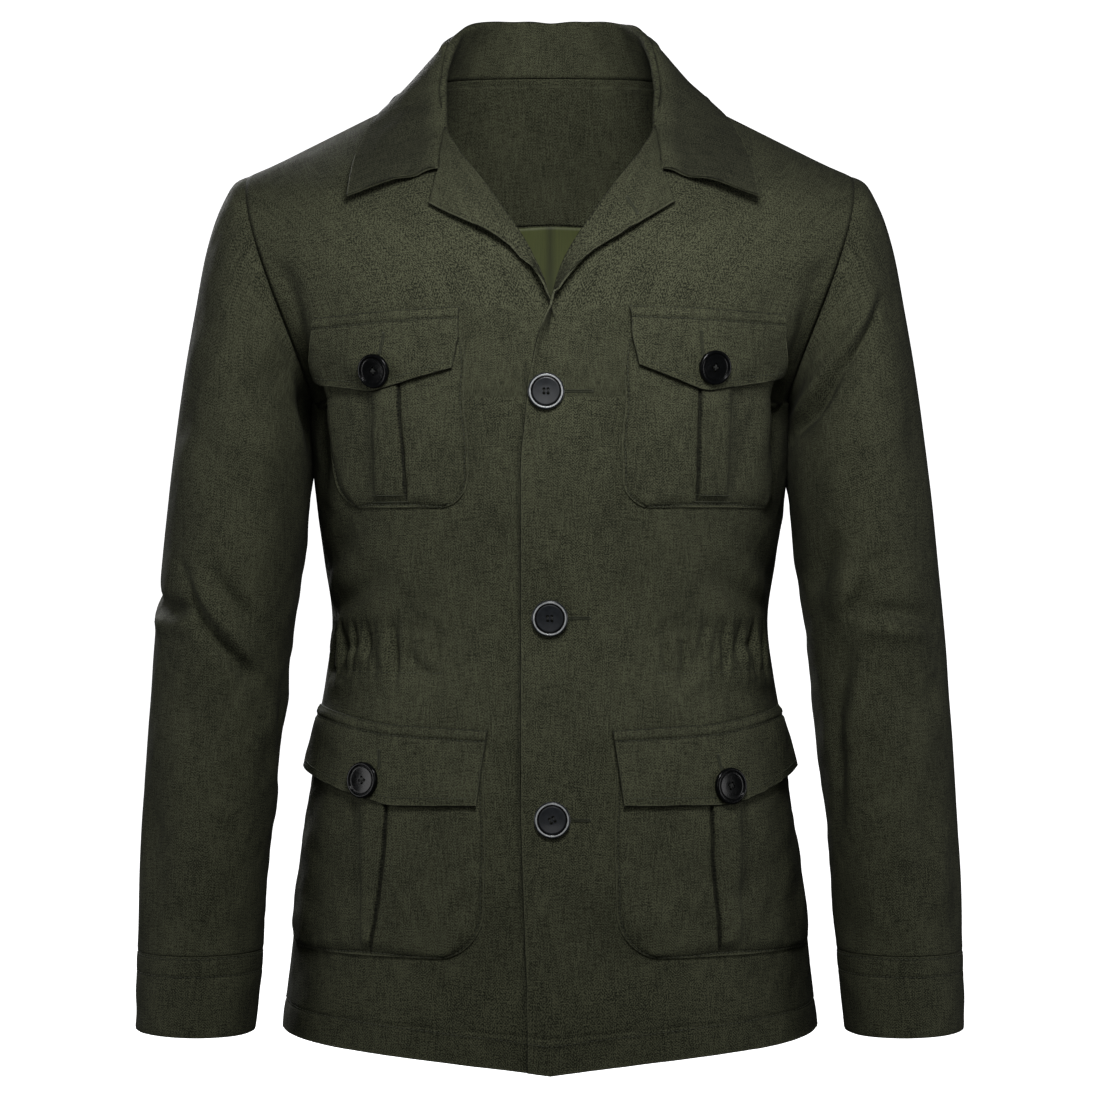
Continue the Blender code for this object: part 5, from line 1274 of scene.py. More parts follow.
@functools.cache
def front_cloth(side):
    """One front with its lapel, as it lies on the wearer's left."""
    rows, columns = body_rows(), front_columns()
    strip = strip_stops()
    body = front(columns[None], rows[:, None])
    beside = 1e-3
    lapel = UPPER_LAPEL if side > 0 else UNDER_LAPEL
    first = lapel["v"][0]
    width = upper_width(body[:, 0, 2]) if side > 0 else np.full_like(rows, OVERLAP)
    begun = np.clip((rows - LAST_STRAIGHT) / (first - LAST_STRAIGHT), 0, 1)
    width = width + (lapel["flat"][0] - width) * begun
    count = len(strip) - 1
    points = np.zeros((len(rows), count + len(columns), 3))
    last = int(np.abs(rows - ROLL_END).argmin())
    for r, v in enumerate(rows):
        if r > last:
            continue
        root, aside, above = front(np.array((0, beside, 0)), np.array((v, v, min(v + beside, 2))))
        out = np.cross(aside - root, above - root)
        out /= np.linalg.norm(out)
        line = body[r]
        flap = past_centre(line, width[r] * strip) if v < first else lapel_row(lapel, v, line, out, strip)
        points[r, :count] = flap[:0:-1]
    s = arcs_of(body[..., :2])
    level = side_line(rows, False)[:, 2]
    z = np.broadcast_to(level[:, None], s.shape)
    points[:, count:] = body
    strip_s = -arcs_of(points[:, count::-1])[:, :0:-1]
    grain = flat_places(np.concatenate([strip_s, s], axis=1), rows)
    shown = np.ones((len(rows) - 1, points.shape[1] - 1), bool)
    shown[last:, :count] = False
    cloth = Cloth(f"front_{'left' if side > 0 else 'right'}", points, grain, CLOTH, shown)
    depth = np.zeros(points.shape[:2])
    seam = cloth.reach("end")[:, count:]
    top = cloth.reach("high")[:, count:]
    collar_edge = smooth_step(0, 0.02, s) + (1 - smooth_step(V_AT - 0.1, V_AT, rows))[:, None]
    hold = creased(seam, top, FRONT_HOLDS) * np.clip(collar_edge, 0, 1)
    depth[:, count:] = front_relief(side, s, z) * hold + seam_dip(seam) * 0.8
    depth += hem_relief(rows)
    flat = (1 - smooth_step(1.1, 1.25, rows))[:, None]
    strip_hold = np.concatenate([np.ones((len(rows), count)), 1 - smooth_step(0, 0.012, s)], axis=1)
    depth += 0.0006 * uneven(grain[..., 0], grain[..., 1], 0.06, side) * flat * strip_hold
    if side < 0:
        near = 1 - smooth_step(0.028, 0.055, points[..., 0])
        low = 1 - smooth_step(V_AT + 0.01, V_AT + 0.12, rows)[:, None]
        cloth.points = cloth.points + (near * low * UNDERLAP_DEPTH)[..., None] * (0, 1, 0)
    cloth.press(depth)
    rim = cloth.nearest(("start", "low"))
    # Rubbed wear along the free edges, partly a painted highlight; painted shade along the hem's and the
    # front edge's stitch rows.
    cloth.edge = 0.8 * bell(rim, RUB_WIDTH) * np.where(rows < ROLL_END + 0.01, 1, 0)[:, None]
    cloth.edge = cloth.edge - row_shade(cloth.reach("low"), HEM_ROW)
    stitched = smooth_step(1.15, 1.3, rows)[:, None] * (rows < ROLL_END)[:, None]
    cloth.edge = cloth.edge - 0.8 * stitched * row_shade(cloth.reach("start"), EDGE_ROW)
    # Painted shadow cast by the upper front's edge on the under front.
    if side < 0:
        from_edge = np.abs(points[..., 0] - upper_width(body[:, 0, 2])[:, None] - 0.0006)
        cloth.edge = cloth.edge - 1.3 * row_shade(from_edge, 0.0, 0.0014) * (rows < first)[:, None]
    cloth.round = smooth_step(0, SEWN_EDGE, cloth.nearest(("end", "high")))
    cloth.round = cloth.round * (rows < ROLL_END - 1e-6)[:, None]
    cloth.last, cloth.strip = last, count
    return cloth


def body_height(rows):
    """How far up the flat cloth each row lies."""
    return np.where(rows < 1, rows * LEVELS_BELOW, LEVELS_BELOW + (rows - 1) * LEVELS_ABOVE)


def flat_places(s, rows):
    """The place in the flat cut of each point of a panel."""
    return np.stack([s, np.tile(body_height(rows)[:, None], (1, s.shape[1]))], axis=2)


def hem_relief(rows):
    """The dip of the hem's stitches, and the swell of the turned-up cloth below them."""
    hem = body_height(rows)[:, None]
    return stitch_dip(hem, HEM_ROW, HEM_DIP) - HEM_SWELL * bell(hem - SWELL_ROW, 0.007)


def seam_dip(distance):
    """How the cloth swells up beside a sewn seam, which itself stays where it is."""
    return -0.0005 * (1 - bell(distance, 0.0016)) * bell(distance, 0.0090)


def on_front(side, s, z, lift):
    """Points that stand off one front's creased cloth by the lift, as on the wearer's left."""
    s, z = np.broadcast_arrays(s, z)
    points, out = front_at(s, z)
    return points + out * (np.asarray(lift) - front_relief(side, s, z))[..., None], out


def buttonhole(points, out, half_width=0.0011):
    """A buttonhole worked closely with thread along a short line, with a bar at each end."""
    arc, centres = along(points, HOLE_PITCH)
    place, facing = point_along(arc, points, centres), point_along(arc, out, centres)
    across = np.cross(facing, points[-1] - points[0])
    across /= np.linalg.norm(across, axis=1, keepdims=True)
    length, width, rise = half_width * 1.25, 0.0006, 0.00042
    runs = [
        dash_mesh(place + across * side * half_width * 0.62, across, facing, length, width, rise)
        for side in (1, -1)
    ]
    ends = place[[0, -1]] - (points[-1] - points[0]) * np.array([[0.03], [-0.03]])
    length, width, rise = half_width * 2.6, 0.0010, 0.0005
    runs.append(dash_mesh(ends, across[[0, -1]], facing[[0, -1]], length, width, rise))
    return runs


HOLE_PITCH = 0.00062  # how far apart a buttonhole's stitches lie
LAPEL_HOLE, LAPEL_TICK = (1.66, 0.50, 0.86), (1.70, 0.50, 0.60)  # level, from and to a share of the lapel
# The front's buttonholes: level, from and to a distance along the cloth.
FRONT_HOLES = ((-0.2213, 0.0100, 0.0300), (-0.3824, 0.0100, 0.0285), (-0.5258, 0.0100, 0.0285))


class JACKET_OT_fronts(bpy.types.Operator):
    """Makes the two fronts with their lapels, and the sewing along their hems and waist"""

    bl_idname = "jacket.fronts"
    bl_label = "Fronts and lapels"

    def execute(self, context):
        for side, word in ((1, "left"), (-1, "right")):
            cloth = front_cloth(side)
            rows = [("low", HEM_ROW, ())]
            runs = rows_of_stitches(cloth, rows)
            for level in (ELASTIC_TOP, ELASTIC_BOTTOM):
                s = np.linspace(ELASTIC_START, ELASTIC_END, 60)
                points, out = on_front(side, s, np.full_like(s, level), 0.0)
                runs.append(dashes(points, out))
            level, start, end = LAPEL_HOLE if side > 0 else LAPEL_TICK
            row = float(np.abs(body_rows() - level).argmin())
            columns = np.interp(np.linspace(start, end, 12), strip_stops(), np.arange(cloth.strip, -1, -1))
            places = np.stack([np.full_like(columns, row), columns], axis=1)
            runs += buttonhole(*cloth.at(places, inner=True), *(() if side > 0 else (0.0005,)))
            if side > 0:
                for level, start, end in FRONT_HOLES:
                    line = np.linspace(start, end, 12)
                    runs += buttonhole(*on_front(side, line, np.full_like(line, level), 0.0))
            if side < 0:
                runs = [(points * (-1, 1, 1), [face[::-1] for face in faces]) for points, faces in runs]
                made = mirrored_copy(cloth).build(body_cloth(context))
            else:
                made = cloth.build(body_cloth(context))
            made.name = f"cloth_front_{word}"
            settle(made, "body_cloth", f"front_{word}")
            sewing = settle(sewn(f"sewing_front_{word}", runs, sewing_thread(context)), "body_cloth")
        return {"FINISHED"}


def mirrored_copy(cloth):
    """The piece on the wearer's right, leaving the one it is made from as it was."""
    copy = Cloth.__new__(Cloth)
    copy.__dict__.update(cloth.__dict__)
    return copy.mirror()


# ---- Back, facing and lining ----
BACK_HALF_WIDTH = 0.29


def back_grid(half, rows):
    """The whole back's points, and their distances along the cloth from its centre line."""
    left = back(half[None], rows[:, None])
    points = np.concatenate([left[:, :0:-1], left * (-1, 1, 1)], axis=1)
    s = arcs_of(points[..., :2])
    return points, s - s[:, [len(half) - 1]]


def back_relief(s, z):
    """How deep the back's creases lie."""
    depth = creases(BACK_CREASES, s, z) + 0.0012 * uneven(s, z, 0.09, 2)
    return depth + 0.0002 * uneven(s, z, 0.018, 3)


def back_margin(half):
    """More room between back and lining towards the armholes, where creases shift most."""
    share = np.concatenate([half[:0:-1], half])
    return 0.0022 * smooth_step(0.35, 0.75, share)


def back_cloth():
    """The back, whole, from side seam to side seam and from hem to neck."""
    rows = body_rows(BACK_STEP)
    half = stops(BACK_HALF_WIDTH, BACK_STEP, near=(BACK_HALF_WIDTH,), fine=0.0012) / BACK_HALF_WIDTH
    half = snapped(half, NECK_SHARE)
    points, s = back_grid(half, rows)
    cloth = Cloth("cloth_back", points, flat_places(s, rows), CLOTH)
    seam, top = cloth.nearest(("start", "end")), cloth.reach("high")
    hold = creased(seam, top, BACK_HOLDS)
    depth = back_relief(s, points[..., 2]) * hold + seam_dip(seam) * 0.8
    cloth.press(depth + hem_relief(rows))
    # Rubbed wear along the hem, partly a painted highlight, and painted shade along its stitch row.
    cloth.edge = 0.8 * bell(cloth.reach("low"), RUB_WIDTH) - row_shade(cloth.reach("low"), HEM_ROW)
    cloth.round = smooth_step(0, SEWN_EDGE, cloth.nearest(("start", "end", "high")))
    return cloth


class JACKET_OT_back(bpy.types.Operator):
    """Makes the back with its hem's sewing"""

    bl_idname = "jacket.back"
    bl_label = "Back"

    def execute(self, context):
        cloth = back_cloth()
        made = settle(cloth.build(body_cloth(context)), "body_cloth", "back")
        runs = rows_of_stitches(cloth, [("low", HEM_ROW, ())])
        sewing = settle(sewn("sewing_back", runs, sewing_thread(context)), "body_cloth")
        return {"FINISHED"}


LINING_LOW, LINING_WIDTH = 0.598, 0.80  # the lining's lower edge along v, and its share of the back's width
CENTRE_PLEAT, CENTRE_PLEAT_WIDTH = 0.0011, 0.0045


def inside_back(name, low, high, step, pleat):
    """Part of the back's inner side, a little in from it."""
    count = int((high - low) * 0.45 / step) + 2
    rows = np.linspace(low, high, count)
    half = np.linspace(0, LINING_WIDTH, 70)
    points, s = back_grid(half, rows)
    cloth = Cloth(name, points, flat_places(s, rows), LINING_PLY)
    pressed = np.maximum(back_relief(s, points[..., 2]), 0) + back_margin(half)
    depth = CLOTH + 2 * SEAM_GAP + pressed + 0.0012 * (1 + uneven(s, points[..., 2], 0.07, 1)) * 0.5
    if pleat:
        fade = 1 - smooth_step(0.012, 0.06, s)
        depth = depth + CENTRE_PLEAT * smooth_step(0, CENTRE_PLEAT_WIDTH, s) * fade
        depth = depth + 0.0010 * bell(s - 0.024, 0.007) - 0.0008 * bell(s + 0.020, 0.008)
        # Painted shade along the centre pleat's fold.
        cloth.edge = -1.4 * row_shade(s, -0.0004, 0.0011)
    return cloth.press(depth)


class JACKET_OT_lining(bpy.types.Operator):
    """Makes the facing of the back's neck and the lining with its centre pleat"""

    bl_idname = "jacket.lining"
    bl_label = "Facing and lining"

    def execute(self, context):
        facing = inside_back("cloth_facing", FACING_END, 1.985, 0.003, False)
        facing.press(-0.0006 * bell(facing.reach("low"), 0.004))
        made = settle(facing.build(body_cloth(context)), "body_cloth", "back_neck_facing")
        lining = inside_back("cloth_lining", LINING_LOW, FACING_END - 0.004, 0.0045, True)
        look = lining_cloth(context.scene.jacket_colours)
        made = settle(lining.build(look), "lining", "back_lining")
        return {"FINISHED"}


# ---- Sleeves and cuffs ----
def sleeve_grain(points):
    """The place in the flat cut of each point of a sleeve or cuff, by its middle ring and mean length."""
    across = arc_of(points[len(points) // 2])
    down = np.linalg.norm(np.diff(points, axis=0), axis=2).mean(axis=1)
    lengths = -np.concatenate([[0], np.cumsum(down)])
    return np.stack(np.broadcast_arrays(across[None, :], lengths[:, None]), axis=2)


ALLOWANCE = 0.004  # how far a sleeve's head goes on inside the armhole


def sleeve_cloth_piece(side):
    """One sleeve with its creases and the allowance inside its armhole, as on the wearer's left."""
    rings = np.linspace(0, CUFF_RING, 1001)
    arc = arc_of(sleeve(np.zeros_like(rings), rings))
    chosen = np.interp(stops(arc[-1], SLEEVE_STEP, near=(0, arc[-1])), arc, rings)
    turns = np.linspace(0, 360, int(SLEEVE_GIRTH / SLEEVE_STEP) + 2)
    points = sleeve(turns[None], chosen[:, None])
    cloth = Cloth("sleeve", points, sleeve_grain(points), CLOTH)
    z = points[..., 2]
    turn = np.broadcast_to(turns[None], z.shape)
    per_degree = SLEEVE_GIRTH / 360
    depth = sum(creases(SLEEVE_CREASES[side], turn + shift, z, per_degree) for shift in (0, 360))
    around = turn * per_degree
    wave = 0.5 - 0.5 * np.cos(np.radians(turn))
    fade = smooth_step(0.0, 0.1, wave)
    broad, middling = uneven(around, z, 0.08, 1 + side), uneven(around, z, 0.042, 2 - side)
    depth = depth + fade * (0.0014 * broad + 0.0007 * middling + 0.00024 * uneven(around, z, 0.02, 3))
    head, end = cloth.reach("low"), cloth.reach("high")
    hold = creased(head, end, SLEEVE_HOLDS)
    depth = depth * hold + seam_dip(head) * 0.7 + seam_dip(end) * 0.5
    cloth.round = smooth_step(0, SEWN_EDGE, np.minimum(head, end))
    cloth.press(depth)
    under = cloth.points[:1] - cloth.normals()[:1] * (CLOTH + SEAM_GAP)
    out = cloth.points[:1] - cloth.points[2:3]
    under = under + out / np.linalg.norm(out, axis=2, keepdims=True) * ALLOWANCE
    grain = cloth.grain[:1] + (0, ALLOWANCE)
    turned_in = Cloth(
        "sleeve", np.concatenate([under, cloth.points]), np.concatenate([grain, cloth.grain]), CLOTH
    )
    turned_in.round = np.concatenate([cloth.round[:1], cloth.round])
    return turned_in


class JACKET_OT_sleeves(bpy.types.Operator):
    """Makes the sleeves, creased at the elbow and underarm"""

    bl_idname = "jacket.sleeves"
    bl_label = "Sleeves"

    def execute(self, context):
        for side, word in ((1, "left"), (-1, "right")):
            cloth = sleeve_cloth_piece(side)
            cloth = cloth if side > 0 else mirrored_copy(cloth)
            cloth.name = f"cloth_sleeve_{word}"
            made = settle(cloth.build(sleeve_cloth(context)), "sleeve_cloth", f"sleeve_{word}")
        return {"FINISHED"}


class JACKET_OT_cuffs(bpy.types.Operator):
    """Makes the cuff bands with their rows of stitches"""

    bl_idname = "jacket.cuffs"
    bl_label = "Cuffs"

    def execute(self, context):
        for side, word in ((1, "left"), (-1, "right")):
            turns = np.linspace(0, 360, 132)
            heights = stops(0.0585, 0.0028, near=(0, *CUFF_ROWS, 0.0585))
            rings = CUFF_RING + (END_RING - CUFF_RING) * heights / heights[-1]
            points = sleeve(turns[None], rings[:, None])
            cloth = Cloth(f"cloth_cuff_{word}", points, sleeve_grain(points), CLOTH)
            rows = [("low", distance, ()) for distance in CUFF_ROWS]
            swell = -0.0005 * smooth_step(0, 0.003, cloth.nearest(("low", "high")))
            around = np.broadcast_to(turns[None] * 0.27 / 360, points.shape[:2])
            wave = 0.0004 * uneven(around, points[..., 2], 0.03, side + 1)
            cloth.press(dips(cloth, rows) + swell + wave * smooth_step(0.0, 0.02, cloth.reach("low")))
            # Rubbed wear along the cuff's edge, partly a painted highlight, and painted shade along its
            # stitch rows.
            cloth.edge = 0.7 * bell(cloth.reach("high"), RUB_WIDTH)
            cloth.edge = cloth.edge - sum(row_shade(cloth.reach("low"), row) for row in CUFF_ROWS)
            cloth.round = smooth_step(0, SEWN_EDGE, cloth.reach("low"))
            cloth = cloth if side > 0 else mirrored_copy(cloth)
            made = settle(cloth.build(sleeve_cloth(context)), "sleeve_cloth", f"cuff_{word}")
            sewing = sewn(f"sewing_cuff_{word}", rows_of_stitches(cloth, rows), sewing_thread(context))
            settle(sewing, "sleeve_cloth")
        return {"FINISHED"}


# ---- Collar ----
def collar_neck(step):
    """The neck seam that the collar stands on, from the nape to the roll line's end."""
    if step <= COLLAR_NECK_END:
        return neck_and_shoulder(np.array(step / COLLAR_NECK_END * NECK_SHARE))
    share = (step - COLLAR_NECK_END) / (COLLAR_GORGE - COLLAR_NECK_END)
    return front(0, 2 - share * (2 - ROLL_END))


def collar_places(names, step, spread):
    """A point of the collar's crease or edge, whose front is spread outwards."""
    place = np.array([float(read(COLLAR, f"{axis}_{names}", step)) for axis in "xyz"])
    if names == "edge":
        place[0] += spread * smooth_step(3, COLLAR_END, step)
    return place


def fall_of(top, edge, out, shares, hollow=1.0):
    """The fall from the crease to its free edge: hollow beside its roll, and then bellied out a little."""
    belly = COLLAR_SWELL * np.sin(math.pi * shares**0.6)
    dent = COLLAR_HOLLOW * hollow * bell(shares - 0.26, 0.13)
    return top + (edge - top) * shares + out * (belly - dent)


def stand_section(step, spread, stand, roll, fall):
    """A section of the collar where it has a stand: up from the neck seam, over the crease and down."""
    seam, crease = collar_neck(step), collar_places("crease", step, spread)
    ahead = collar_places("crease", step + 0.05, spread)
    behind = collar_places("crease", max(step - 0.05, 0), spread)
    if step < 0.05:
        behind = ahead * (-1, 1, 1)
    rise = (crease - seam) / np.linalg.norm(crease - seam)
    out = np.cross(rise, ahead - behind)
    out /= np.linalg.norm(out)
    beta = math.pi * roll
    arc = crease + rise * ROLL_RADIUS * np.sin(beta) + out * ROLL_RADIUS * (1 - np.cos(beta))
    stand_points = seam + (crease - seam) * stand
    hollow = smooth_step(5.2, 6.6, step)
    edge = collar_places("edge", step, spread)
    return np.concatenate([stand_points, arc, fall_of(arc[-1], edge, out, fall, hollow)])


def collar_half(cloth, spread, steps, stand, roll, fall):
    """Sections from the nape round to the notch on the wearer's left."""
    lapel_top = cloth.points[cloth.last, cloth.strip :: -1]
    arc = point_along(strip_stops(), lapel_top, roll[:, 0] * ROLL_SHARE)
    roll_end = arc[-1]
    notch = on_chest(NOTCH_X, NOTCH_Z, 0.004)
    side_out = np.array((0.5, -0.6, 0.6))
    gorge_edge = collar_places("edge", COLLAR_GORGE, spread)
    gorge_fall = fall_of(roll_end, gorge_edge, side_out, fall)
    gorge = np.concatenate([np.repeat(arc[:1], len(stand), 0), arc, gorge_fall])
    before = stand_section(COLLAR_GORGE - 1, spread, stand, roll, fall)
    rows = []
    for step in steps:
        if step <= COLLAR_GORGE - 1:
            rows.append(stand_section(step, spread, stand, roll, fall))
        elif step <= COLLAR_GORGE:
            t = step - (COLLAR_GORGE - 1)
            rows.append(before + (gorge - before) * t)
        else:
            hang = roll_end + (notch - roll_end) * (step - COLLAR_GORGE) / (COLLAR_END - COLLAR_GORGE)
            edge = collar_places("edge", step, spread)
            held = np.repeat(hang[None], len(stand) + len(roll), 0)
            rows.append(np.concatenate([held, fall_of(hang, edge, side_out, fall)]))
    points = np.array(rows)
    first = len(stand) + len(roll)
    for r in range(len(points)):
        for c in range(first, points.shape[1]):
            points[r, c] = clear(points[r, c])
    return points


def clear(point):
    """The point, moved off the body where it lies closer than the collar may."""
    place, out, _, _ = chest_tree().find_nearest(Vector(point))
    place, out = np.array(place), np.array(out)
    gap = (point - place) @ out
    return point if gap > COLLAR_LIFT else point + out * (COLLAR_LIFT - gap)


FALL_SHADE = 0.60  # how much painted shade darkens the collar's fall beyond its roll


def collar_cloth():
    """The whole collar, from one front corner round the nape to the other."""
    steps = snapped(stops(COLLAR_END, 0.11, near=(COLLAR_END,), fine=0.04, reach=0.25), 5, 6, COLLAR_GORGE)
    stand = np.linspace(0, 1, 12)[:-1, None]
    roll = np.linspace(0, 1, 12)[:, None]
    fall = stops(1, 0.045, near=(1,), fine=0.016, reach=0.07)[1:, None]
    halves = {
        side: collar_half(front_cloth(side), LEFT_COLLAR_SPREAD if side > 0 else 0, steps, stand, roll, fall)
        for side in (1, -1)
    }
    points = np.concatenate([(halves[-1] * (-1, 1, 1))[:0:-1], halves[1]])
    middle = len(steps) - 1
    shown = np.ones((len(points) - 1, points.shape[1] - 1), bool)
    ends = int((steps > COLLAR_GORGE + 1e-6).sum())
    fold = len(stand) + len(roll) - 1
    shown[:ends, :fold] = False
    shown[-ends:, :fold] = False
    up, arc = arcs_of(points), arc_of(points[:, -1])
    grain = np.stack([np.broadcast_to((arc - arc[middle])[:, None], up.shape), up], axis=2)
    cloth = Cloth("cloth_collar", points, grain, COLLAR_PLY, shown)
    rim = cloth.reach("end")
    body = smooth_step(0, 0.02, rim) * smooth_step(0, 0.02, cloth.reach("start"))
    cloth.press(0.0008 * uneven(grain[..., 0], grain[..., 1], 0.05, 1) * body)
    # Rubbed wear along the edges, partly a painted highlight, and painted shade over the fall.
    cloth.edge = 0.8 * bell(cloth.nearest(("end", "low", "high")), RUB_WIDTH)
    past_roll = np.arange(points.shape[1]) - fold
    cloth.edge = cloth.edge - FALL_SHADE * smooth_step(0, 6, past_roll) * (cloth.edge < 0.2)
    cloth.round = smooth_step(0, SEWN_EDGE, cloth.reach("start"))
    return cloth


class JACKET_OT_collar(bpy.types.Operator):
    """Makes the collar: a stand, its roll and the fall with two points"""

    bl_idname = "jacket.collar"
    bl_label = "Collar"

    def execute(self, context):
        made = settle(collar_cloth().build(body_cloth(context)), "body_cloth", "collar")
        return {"FINISHED"}


# ---- Pockets and flaps ----
SMALL_PIECE = {"step": 0.0022, "fine": 0.0007, "reach": 0.003}  # how finely a pocket or flap is divided
BAR_ROWS, BAR_PITCH = (0.0045, 0.0095), 0.0016  # the bars sewn across the foot of a chest pocket's pleat
POCKET_CORNER = {"chest": 0.021, "hip": 0.034}
PLEAT_GROOVE = 0.0013  # how deep a pleat's sharp side lies


def rounded_outline(shape, levels, corner):
    """A pocket's inner and outer edge at each level, straight down to its rounded lower corners."""
    low = shape["z"][0]
    above = low + corner * 1.6
    drop = corner * (1 - np.sqrt(np.maximum(1 - np.clip((low + corner - levels) / corner, 0, 1) ** 2, 0)))
    drop = np.minimum(drop, corner * 0.86)
    lines = []
    for name, way in (("inner", 1), ("outer", -1)):
        slope = (read(shape, name, above + 0.02) - read(shape, name, above)) / 0.02
        straight = read(shape, name, above) + slope * 0.5 * (levels - above)
        lines.append(np.where(levels > above, read(shape, name, levels), straight) + way * drop)
    return lines


def pocket_cloth(side, where, shape):
    """A patch pocket with a box pleat, as on the wearer's left."""
    low, high = shape["z"][0], shape["z"][-1]
    levels = low + stops(high - low, near=(0, EDGE_ROW), **SMALL_PIECE)
    inner, outer = (line[:, None] for line in rounded_outline(shape, levels, POCKET_CORNER[where]))
    pleat_in, pleat_out = (read(shape, name, levels)[:, None] for name in ("pleat_in", "pleat_out"))
    first = stops(1, 0.05, near=(0, 1), fine=0.014, reach=0.08)
    last = stops(1, 0.028, near=(0, 1), fine=0.010, reach=0.06)
    fold = np.array((-1, -0.4, 0.4, 1)) * PLEAT_FOLD
    band = np.linspace(0, 1, 10)[1:-1]
    s = np.concatenate(
        [
            inner + (pleat_in - PLEAT_FOLD - inner) * first[:-1],
            pleat_in + fold,
            pleat_in + PLEAT_FOLD + (pleat_out - pleat_in - 2 * PLEAT_FOLD) * band,
            pleat_out + fold,
            pleat_out + PLEAT_FOLD + (outer - pleat_out - PLEAT_FOLD) * last[1:],
        ],
        axis=1,
    )
    z = np.broadcast_to(levels[:, None], s.shape)
    sharp, soft = s - pleat_in, pleat_out - s
    inside = smooth_step(-PLEAT_FOLD, PLEAT_FOLD, sharp) * smooth_step(-0.2 * PLEAT_FOLD, 0.004, soft)
    groove = bell(np.minimum(sharp, 0), 0.0016) * (sharp < PLEAT_FOLD)
    hollow = bell(soft + 0.004, 0.0050)
    base, _ = on_front(side, s, z, 0 * s)
    guide = Cloth("guide", base, np.stack([s, z], axis=2), POCKET_PLY)
    rim = guide.nearest(("start", "end", "low"))
    beside = 1 - 0.7 * bell(guide.reach("end"), 0.016) * (where == "hip")
    full = smooth_step(0.001, 0.012, rim) * beside
    pleat = size("pleat_band") * inside - PLEAT_GROOVE * (groove * (1 - inside) + 0.7 * hollow)
    lift = POCKET_PLY + 0.0002 + (POCKET_LIFT + PLEAT_GROOVE) * full + pleat * smooth_step(0.004, 0.012, rim)
    lift = lift + full * 0.0007 * uneven(s, z, 0.034, 2 + side)
    points, _ = on_front(side, s, z, lift)
    cloth = Cloth(f"cloth_{where}_pocket", points, guide.grain, POCKET_PLY)
    cloth.levels, cloth.band = levels - low, (len(first) - 3, len(first) + 2 * len(fold) + len(band) + 1)
    # Painted shade along the pleat's sharp edge, in its groove and in the hollow beside it.
    line = bell(sharp + PLEAT_FOLD, 0.0008)
    cloth.shade = (1.2 * line + 0.4 * groove * (1 - inside) + 0.30 * hollow) * smooth_step(0, 0.008, rim)
    return cloth


FLAP_HOLES = {
    ("chest", 1): (0.43, 0.44, 0.72),
    ("chest", -1): (0.47, 0.44, 0.72),
    ("hip", 1): (0.48, 0.38, 0.62),
    ("hip", -1): (0.53, 0.44, 0.66),
}  # where a flap's buttonhole lies: its share across, and from and to which share up
FLAP_EDGE_ROW, FLAP_TOP_ROW = 0.0062, 0.0012  # the rows of stitches along a flap's free edge and at its top
FLAP_SIZES = {"chest": (0.13, 0.046), "hip": (0.165, 0.055)}  # about how wide and high the flaps are


def flap_cloth(side, where, shape, corner_lift):
    """A pocket flap from its free edge up to the seam that it hangs from, as on the wearer's left."""
    width, height = FLAP_SIZES[where]
    near = (0, EDGE_ROW, width - EDGE_ROW, width)
    across = stops(width, near=near, **SMALL_PIECE) / width
    near = (0, EDGE_ROW, height - FLAP_SEAM_ROW, height)
    share = (stops(height, near=near, **SMALL_PIECE) / height)[:, None]
    low, high = ([read_line(shape, f"{axis}_{end}", across) for axis in "sz"] for end in ("low", "high"))
    s, z = (below * (1 - share) + above * share for below, above in zip(low, high))
    corner = corner_lift * across**3 * (1 - share) ** 1.5
    lift = np.maximum(read(FLAP_DROP, "lift", share) * (1 - 0.35 * across**2) + corner, 0)
    base, _ = on_front(side, s, z, 0 * s)
    guide = Cloth("guide", base, np.stack([s, z], axis=2), FLAP_PLY)
    rim, top = guide.nearest(("start", "end", "low")), guide.reach("high")
    full = smooth_step(0, 0.006, rim)
    puff = 0.0010 * bell(top - FLAP_SEAM_ROW * 0.48, FLAP_SEAM_ROW * 0.36)
    lift = POCKET_LIFT + FLAP_PLY + lift + puff + full * 0.0005 * uneven(s, z, 0.04, 1 + side)
    points, _ = on_front(side, s, z, lift)
    cloth = Cloth(f"cloth_{where}_flap", points, guide.grain, FLAP_PLY)
    cloth.share = across, share[:, 0]
    return cloth


def read_line(rows, name, at):
    """A column read along a table, nearly straight between its rows with the corner at a row softened."""
    soft = 0.03
    return sum(np.interp(at + d * soft, rows["keys"], rows[name]) for d in (-1, -0.5, 0, 0.5, 1)) / 5


